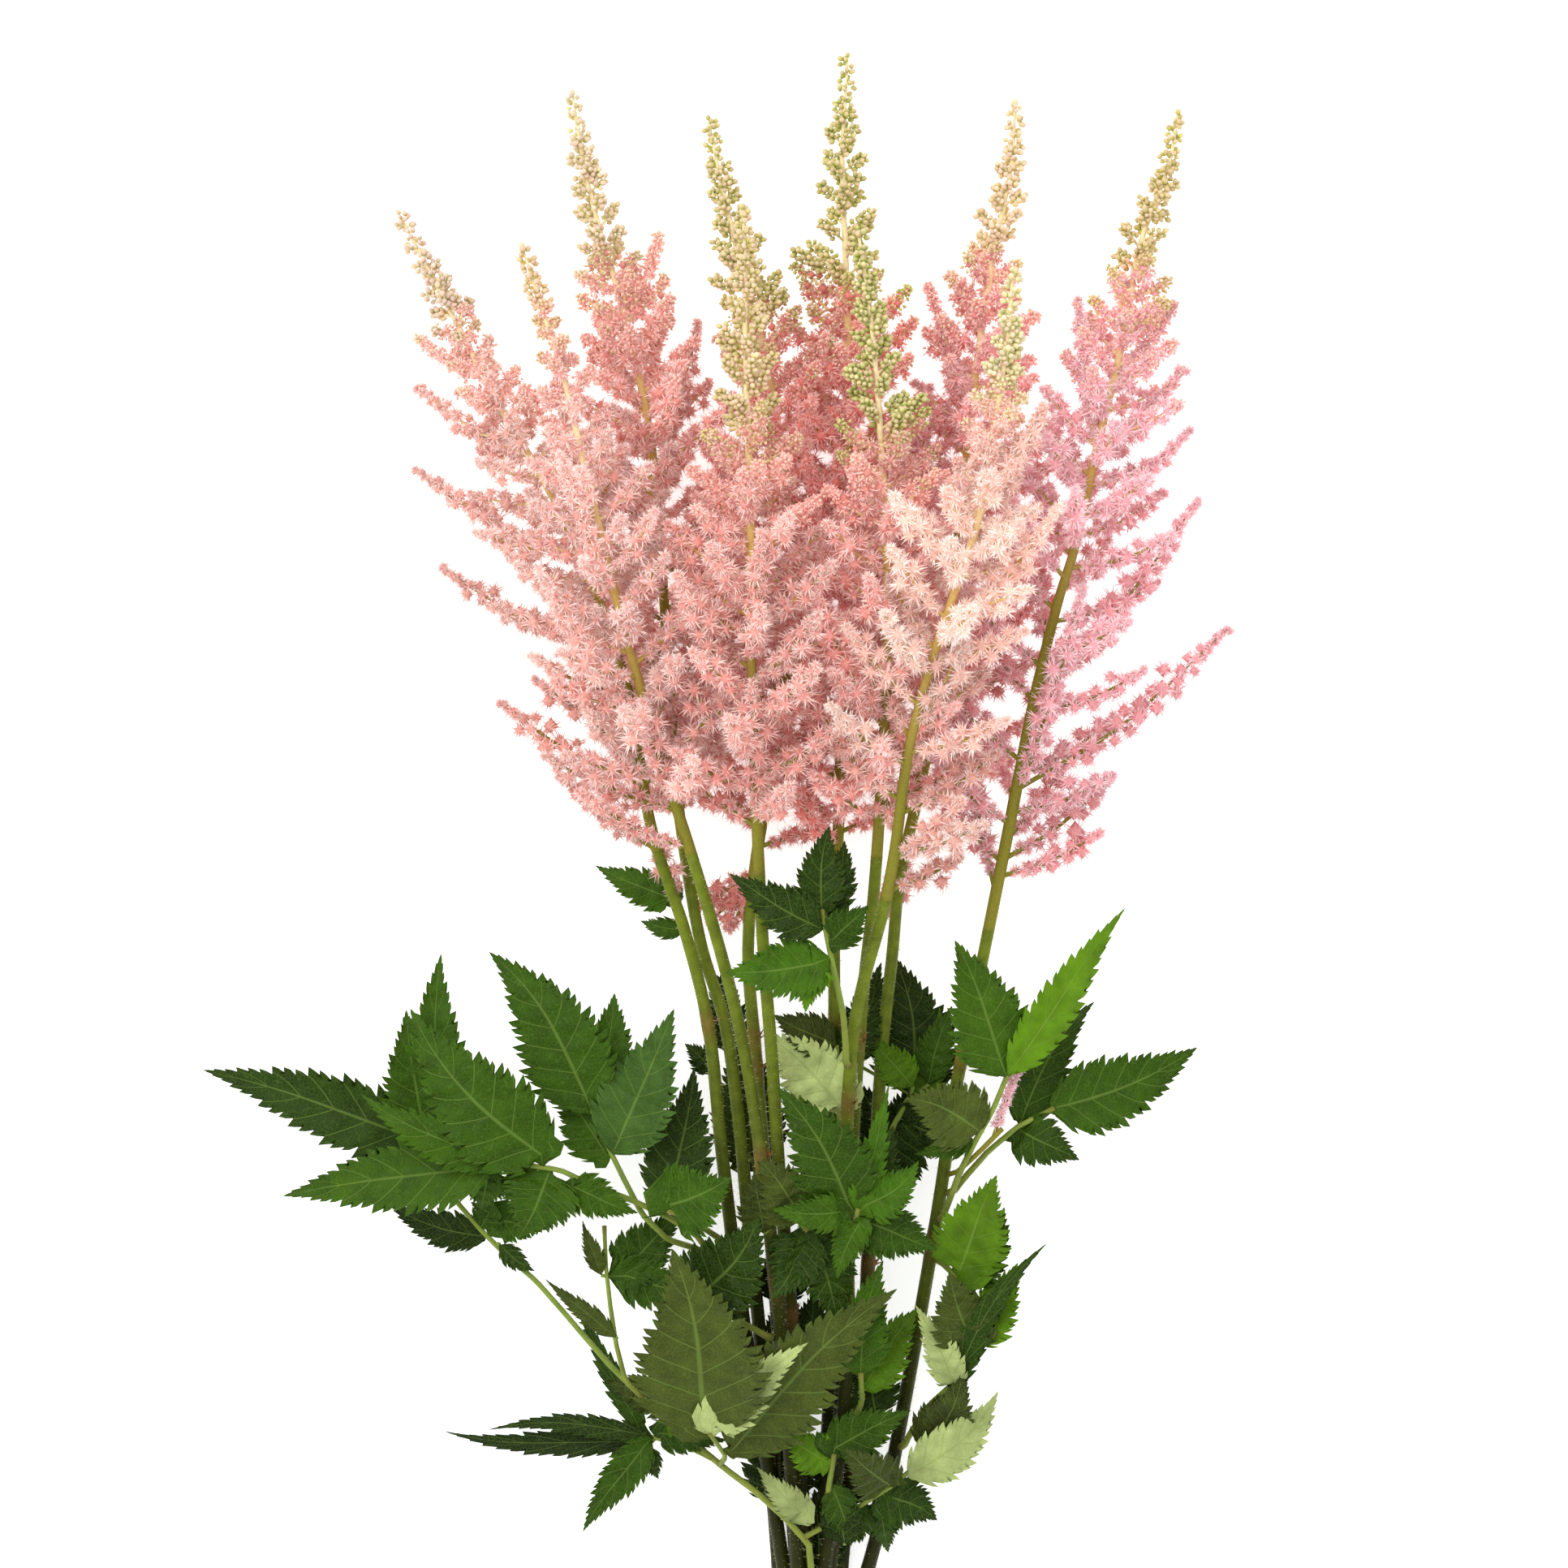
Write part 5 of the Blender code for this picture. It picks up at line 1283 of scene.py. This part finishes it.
def bud_cluster(skin, bloom, root, lean, reach, opened, colour):
    """Short stalk with rings of three or four buds along it and one at its end."""
    rng = bloom.rng
    side, rise = side_vectors(lean)
    end = root + lean * reach
    if reach > 3.0:
        line = np.array([root, 0.5 * (root + end), end])
        tube(skin, line, (0.6, 0.5, 0.35), 5, colour)
    step = 0.3 * reach if reach > 6.0 else 0.6
    turn = rng.uniform(0.0, 6.28)
    while step < reach:
        for _ in range(4 if reach > 3.0 else 3):
            around = math.cos(turn) * side + math.sin(turn) * rise
            place = root + lean * (step + rng.uniform(-0.4, 0.4)) + around * rng.uniform(0.4, 1.3)
            bloom.bud(place, around * 0.8 + lean * 0.75, opened - 0.02 * step)
            turn += 1.7
        step += 1.9
    bloom.bud(end, lean, opened - 0.1)


def build_stem(key, paths, material):
    """Lower stem: a green tube with painted shade towards its cut end, fine hairs and brown bracts at two
    nodes.
    """
    path, _, plume_end = paths[key]
    total = path_lengths(path)[-1]
    skin = Skin()
    draws = np.random.default_rng(SEED + ord(key))
    stops = np.linspace(plume_end, total, int((total - plume_end) / 4.0))
    line = along_path(path, stops)
    radii = np.array([stem_radius(total - stop) for stop in stops])
    # Painted shade: the stem turns darker towards its cut end, low in the bunch
    low = np.clip((stops - plume_end - 40.0) / 170.0, 0.0, 1.0)
    colours = mixed(paint(STEM_GREEN), paint(STEM_PAINTED_SHADE), low)
    colours = colours * draws.uniform(0.9, 1.1, (len(stops), 1))
    nodes = draws.uniform(0.15, 0.85, 2) * (total - plume_end) + plume_end
    for node in nodes:
        near = np.exp(-((stops - node) / 5.0) ** 2)
        colours = mixed(colours, paint(STEM_BROWN), 0.6 * near)
        radii = radii * (1.0 + 0.12 * near)
    tube(skin, line, radii, 12, colours)
    add_hairs(skin, draws, line, radii, HAIRS_PER_MM, HAIR_LENGTH)
    upward = unit(line[0] - line[-1])
    for node in nodes:
        add_bract(skin, draws, along_path(path, [node])[0], upward, stem_radius(total - node))
    return skin.piece("stalk_" + key, "stem_" + key, material)


def add_hairs(skin, draws, line, radii, per_length, length):
    """Fine pale hairs that stand off a stalk."""
    run = path_lengths(line)
    count = int(run[-1] * per_length)
    spread = draws.uniform(0.0, run[-1], count)
    spots = along_path(line, spread)
    ahead = along_path(line, np.minimum(spread + 2.0, run[-1]))
    forward = units(ahead - along_path(line, spread - 2.0))
    around = draws.normal(size=(count, 3))
    around = units(around - (around * forward).sum(axis=1)[:, None] * forward)
    base = np.interp(spread, run, radii)[:, None]
    lengths = length * draws.uniform(0.5, 1.2, count)
    pale = np.broadcast_to(paint(HAIR), (count, 3))
    add_petals(skin, draws, spots + around * base * 0.97, around, lengths, HAIR_WIDTH, pale, pale)


def add_bract(skin, draws, spot, upward, radius):
    """Three small brown scales at a node of a stem."""
    turn = draws.uniform(-1.2, 1.2) + (0.0 if draws.uniform() > 0.5 else math.pi)
    outward = outward_at(upward, turn)
    lean = unit(upward * 0.8 + outward * 0.7)
    starts = spot + outward * radius * 0.8 + draws.normal(0.0, 0.3, (3, 3))
    aims = units(lean + draws.normal(0.0, 0.25, (3, 3)))
    colour = np.broadcast_to(paint(BRACT), (3, 3))
    add_petals(skin, draws, starts, aims, draws.uniform(3.0, 5.5, 3), 1.8, colour * 0.8, colour)


def blade_points(root, spine, width, roll, draws):
    """Grid of points over one leaflet, with toothed margins, and its mark for each point."""
    line = np.vstack([root, spine])
    run = path_lengths(line)
    veins = 5 if width < 12 else 6 if width < 20 else 7 if width < 30 else 8
    teeth = veins * 3
    shares = np.concatenate([(k + np.array(TOOTH_ROWS)) / teeth for k in range(teeth)] + [[1.0]])
    rows = len(shares)
    tip_cut = np.array(TOOTH_TIPS)[np.arange(teeth) % 3]
    notch_cut = np.array(TOOTH_NOTCHES)[np.arange(teeth) % 3]
    cuts = np.stack([notch_cut, 0.42 * notch_cut + 0.4 * tip_cut, tip_cut], axis=1).ravel()
    cuts = np.concatenate([cuts, [0.0]]) * draws.uniform(0.8, 1.2, rows)
    ahead = np.tile(TOOTH_LEANS, teeth)
    ahead = np.concatenate([ahead, [0.0]]) * TOOTH_FORWARD
    spots = along_path(line, shares * run[-1])
    tangents = units(np.gradient(spots, axis=0))
    across = units(np.cross((0.0, 0.0, 1.0), tangents))
    outline = np.array(BLADE_OUTLINE)
    half = 0.5 * BLADE_SPREAD * width * np.interp(shares, outline[:, 0], outline[:, 1])
    outer_third = np.clip((shares - 0.62) / 0.38, 0.0, 1.0) ** 2
    outer_half = np.clip((shares - 0.5) / 0.5, 0.0, 1.0) ** 2
    curl = draws.uniform(-0.3, 1.0) * TIP_CURL * run[-1] * outer_third
    sway = draws.uniform(-0.6, 0.6) * TIP_CURL * run[-1] * outer_half
    phase = draws.uniform(0.0, 6.28)
    wave = 0.04 * width * np.sin(math.pi * shares)
    columns = []
    marks = []
    for part in BLADE_COLUMNS:
        edge = abs(part) > 0.99
        forward = (shares - VEIN_REACH * abs(part)) * veins
        depth = np.minimum(TOOTH_DEPTH * half + 0.35, 0.55 * half)
        reach = half * part - (np.sign(part) * depth * cuts if edge else 0.0)
        point = spots + across * (reach + sway)[:, None]
        if edge:
            point = point + tangents * (ahead * np.minimum(1.0, half / 3.0))[:, None]
        pleat = -PLEAT * np.cos(2.0 * math.pi * forward) * min(1.0, 2.5 * abs(part)) * (1.0 - part ** 4)
        point[:, 2] += (np.abs(reach) * BLADE_FOLD + reach * math.sin(roll) + BLADE_LIFT - curl
                        + wave * part * part * np.sin(9.0 * shares + phase + 1.5 * np.sign(part))
                        + pleat * np.minimum(1.0, half / 7.0))
        point[:, 2] = np.maximum(point[:, 2], 0.3)
        columns.append(point)
        marks.append(np.stack([shares * veins, np.full(rows, part), half / 20.0], axis=1))
    return np.stack(columns, axis=1), np.stack(marks, axis=1)


def build_leaf(name, leaf, material):
    """Compound leaf: stalks and toothed leaflets with veins."""
    lines, blades = leaf
    skin = Skin()
    draws = np.random.default_rng(SEED + int(name[-2:]))
    for radius, _, fine in lines:
        taper = np.linspace(radius * 0.9, radius * 0.65, len(fine))
        shares = np.linspace(0.0, 1.0, len(fine))
        colour = mixed(paint(STALK_GREEN), paint(OLIVE), 0.4 + 0.3 * np.sin(7.0 * shares))
        ends = np.clip(1.0 - np.minimum(shares, 1.0 - shares) * path_lengths(fine)[-1] / 5.0, 0.0, 1.0)
        colour = mixed(colour, paint(STEM_BROWN), 0.7 * ends)
        tube(skin, fine, taper * (1.0 + 0.25 * ends), 7, colour)
        add_hairs(skin, draws, fine, taper, STALK_HAIRS_PER_MM, HAIR_LENGTH * 0.7)
    kinds = LEAF_KINDS.get(name, {})
    for i, blade in enumerate(blades):
        add_blade(skin, draws, blade, kinds.get(i, "mid"))
    rng = random.Random(name + "small")
    for base, tip, width, kind in SMALL_BLADES.get(name, ()):
        base = seen(base)
        spots = np.vstack([line for _, _, line in lines])
        root = spots[np.argmin(np.linalg.norm(spots - base, axis=1))]
        sag = np.array([0.0, 0.0, -0.06 * np.linalg.norm(base - root)])
        stalk = smooth_path([root, 0.5 * (root + base) + sag, base], 3.0)
        tube(skin, stalk, np.full(len(stalk), 0.7), 6, paint(STALK_GREEN))
        spine, roll = blade_spine(base, seen(tip), rng)
        add_blade(skin, draws, (base - 0.01 * (spine[1] - spine[0]), spine, width, roll), kind)
    return skin.piece("leaves_" + name[-2:], name, material)


def add_blade(skin, draws, blade, kind):
    """One toothed leaflet, darker with painted shade where it lies deep in the bunch."""
    grid, marks = blade_points(*blade, draws)
    rows, columns, _ = grid.shape
    index = np.arange(rows * columns).reshape(rows, columns)
    a, b = index[:-1, :-1].ravel(), index[:-1, 1:].ravel()
    c, d = index[1:, :-1].ravel(), index[1:, 1:].ravel()
    faces = np.vstack([np.stack([a, b, d], axis=1), np.stack([a, d, c], axis=1)])
    points = grid.reshape(-1, 3)
    # Painted shade: the lower a point of the leaflet, the less of its colour it keeps
    depth = np.interp(points[:, 2], SHADE_HEIGHTS, SHADES)[:, None]
    colours = paint(LEAF_COLOURS[kind]) * draws.uniform(0.8, 1.3) * depth
    skin.add(points, faces, colours, marks.reshape(-1, 3))


def build_low_spray(paths, material):
    """Small spray of florets on its own stalk, low among the leaves."""
    parent, points, tip, radius = LOW_SPRAY
    spots = off_the_stem([seen(p) for p in points], paths[parent], 0.6)
    skin = Skin()
    bloom = Bloom("z")
    stalk = smooth_path(spots, 6.0)
    tube(skin, stalk, np.full(len(stalk), 1.0), 6, paint(OLIVE))
    dress_branch(skin, bloom, (stalk[-2], seen(tip), radius, np.zeros(3)), 0.62, 0.8, paint(OLIVE))
    bloom.build(skin, LOW_HEAD)
    return skin.piece("florets_low", "low_spray", material)


class Sheet:
    """Nodes of one material that takes its colour from the points of the mesh."""

    def __init__(self, name, rough, shine):
        self.material = bpy.data.materials.new(name)
        self.material.use_nodes = True
        self.nodes = self.material.node_tree.nodes
        self.shader = self.nodes["Principled BSDF"]
        self.fill(self.shader, {"Roughness": rough, "Specular IOR Level": shine})
        self.place = self.node("TexCoord").outputs["Object"]

    def fill(self, node, inputs):
        """Gives each named input of a node its number, or joins it to an output."""
        for name, value in inputs.items():
            if isinstance(value, bpy.types.NodeSocket):
                self.material.node_tree.links.new(value, node.inputs[name])
            else:
                node.inputs[name].default_value = value

    def node(self, kind, inputs=None, **settings):
        """New node with its settings and inputs."""
        node = self.nodes.new("ShaderNode" + kind)
        for name, value in settings.items():
            setattr(node, name, value)
        self.fill(node, inputs or {})
        return node

    def sum(self, operation, first, second=0.0):
        """One step of arithmetic between two values or outputs."""
        return self.node("Math", {0: first, 1: second}, operation=operation).outputs["Value"]

    def line(self, distance, inner, outer):
        """One on a line and nought away from it."""
        inputs = {"Value": distance, "From Min": inner, "From Max": outer, "To Min": 1.0, "To Max": 0.0}
        return self.node("MapRange", inputs, interpolation_type="SMOOTHSTEP").outputs["Result"]

    def varied(self, scale, low, high):
        """Colour of the points made a little darker and lighter by a fine noise, and the noise."""
        tone = self.node("Attribute", attribute_name="tone").outputs["Color"]
        inputs = {"Vector": self.place, "Scale": scale, "Detail": 3.0}
        noise = self.node("TexNoise", inputs).outputs["Fac"]
        inputs = {"Value": noise, "From Min": 0.3, "From Max": 0.7, "To Min": low, "To Max": high}
        spread = self.node("MapRange", inputs).outputs["Result"]
        times = self.node("VectorMath", {0: tone, "Scale": spread}, operation="SCALE")
        return times.outputs["Vector"], noise

    def finish(self, colour, height, strength, distance):
        """Gives the surface its colour and its bumps."""
        bump = self.node("Bump", {"Height": height, "Strength": strength, "Distance": distance})
        self.fill(self.shader, {"Base Color": colour, "Normal": bump.outputs["Normal"]})
        return self.material


def plain_material(name, rough, scale, low, high, glow=0.0):
    """Material of florets, buds or stems: point colours with fine noise."""
    sheet = Sheet(name, rough, 0.15)
    colour, noise = sheet.varied(scale, low, high)
    if glow:
        sheet.fill(sheet.shader, {"Emission Color": colour, "Emission Strength": glow})
    return sheet.finish(colour, noise, 0.25, 0.0004)


def leaf_material():
    """Leaf: point colours, paler sunk veins, a fine net of cells and a soft sheen."""
    sheet = Sheet("leaf_skin", 0.45, 0.1)
    colour, noise = sheet.varied(130.0, 0.75, 1.25)
    mark = sheet.node("Attribute", attribute_name="blade").outputs["Vector"]
    parts = sheet.node("SeparateXYZ", {"Vector": mark}).outputs
    out = sheet.sum("ABSOLUTE", parts["Y"])
    along = sheet.sum("SUBTRACT", parts["X"], sheet.sum("MULTIPLY", out, 1.35))
    side = sheet.line(sheet.sum("PINGPONG", along, 0.5), 0.008, 0.045)
    veins = sheet.sum("MAXIMUM", side, sheet.line(out, 0.012, 0.055))
    inputs = {"Vector": sheet.place, "Scale": 700.0}
    cells = sheet.node("TexVoronoi", inputs, feature="DISTANCE_TO_EDGE")
    net = sheet.line(cells.outputs["Distance"], 0.0, 0.12)
    share = sheet.sum("MAXIMUM", sheet.sum("MULTIPLY", veins, 0.32), sheet.sum("MULTIPLY", net, 0.12))
    inputs = {"Factor": share, "A": colour, "B": (*paint(VEIN), 1.0)}
    blend = sheet.node("Mix", inputs, data_type="RGBA").outputs["Result"]
    sunk = sheet.sum("ADD", sheet.sum("MULTIPLY", veins, -0.8), sheet.sum("MULTIPLY", net, -0.3))
    height = sheet.sum("ADD", sunk, sheet.sum("MULTIPLY", noise, 0.5))
    return sheet.finish(blend, height, 0.5, 0.0006)


def add_floor():
    """Plain white surface under the bunch."""
    mesh = bpy.data.meshes.new("floor")
    corners = ((-1, -1), (1, -1), (1, 1), (-1, 1))
    points = [(x * FLOOR_REACH, y * FLOOR_REACH, -FLOOR_DROP) for x, y in corners]
    mesh.from_pydata(points, [], [(0, 1, 2, 3)])
    material = bpy.data.materials.new("floor_white")
    material.use_nodes = True
    inputs = material.node_tree.nodes["Principled BSDF"].inputs
    inputs["Base Color"].default_value = (FLOOR_TONE, FLOOR_TONE, FLOOR_TONE, 1.0)
    inputs["Roughness"].default_value = 1.0
    inputs["Specular IOR Level"].default_value = 0.0
    inputs["Emission Color"].default_value = (1.0, 1.0, 1.0, 1.0)
    inputs["Emission Strength"].default_value = FLOOR_GLOW
    mesh.materials.append(material)
    floor = bpy.data.objects.new("floor", mesh)
    bpy.context.scene.collection.objects.link(floor)


def add_lights():
    """Even white surroundings and one large soft light from above the flowers."""
    world = bpy.data.worlds.new("studio")
    bpy.context.scene.world = world
    world.use_nodes = True
    background = world.node_tree.nodes["Background"]
    background.inputs["Color"].default_value = (1.0, 1.0, 1.0, 1.0)
    background.inputs["Strength"].default_value = SKY_STRENGTH
    lamp = bpy.data.lights.new("softbox", "AREA")
    lamp.shape = "SQUARE"
    lamp.size = LAMP_SIZE
    lamp.energy = LAMP_POWER
    item = bpy.data.objects.new("softbox", lamp)
    item.location = LAMP_PLACE
    item.rotation_euler = (math.radians(LAMP_TILT), math.radians(LAMP_TILT), 0.0)
    bpy.context.scene.collection.objects.link(item)


def add_camera():
    """Camera straight above, at the picture's distance."""
    data = bpy.data.cameras.new("camera")
    data.lens = LENS
    data.sensor_width = SENSOR
    data.clip_end = 20.0
    camera = bpy.data.objects.new("camera", data)
    camera.location = ((VIEW_X - CENTRE_X) * UNIT, (VIEW_Y - CENTRE_Y) * UNIT, EYE_HEIGHT * UNIT)
    bpy.context.scene.collection.objects.link(camera)
    bpy.context.scene.camera = camera


def main():
    """Lays the bunch out as the solids are and dresses every piece."""
    paths = stem_paths()
    crowd = Crowd()
    take_axes(paths, crowd)
    leaves = {name: grow_leaf(name, paths, crowd) for name in LEAVES}
    spires = {key: spire_branches(key, paths, crowd) for key in paths}
    plumes = {key: [] for key in paths}
    placed_branches(paths, crowd, plumes, REST_BRANCHES, REST_DROP)
    placed_branches(paths, crowd, plumes, PLACED_BRANCHES)
    grown_branches(paths, crowd, plumes)
    florets = plain_material("floret_skin", 0.9, 900.0, 0.9, 1.08, PETAL_GLOW)
    buds = plain_material("bud_skin", 0.6, 500.0, 0.85, 1.12)
    stems = plain_material("stem_skin", 0.5, 220.0, 0.8, 1.2)
    leaf_skin = leaf_material()
    for key in paths:
        build_stem(key, paths, stems)
        build_plume(key, paths, plumes[key], florets)
        build_spire(key, paths, spires[key], buds)
    for name, leaf in leaves.items():
        build_leaf(name, leaf, leaf_skin)
    build_low_spray(paths, florets)
    add_floor()
    add_lights()
    add_camera()


main()
bpy.context.scene.view_settings.view_transform = "Standard"
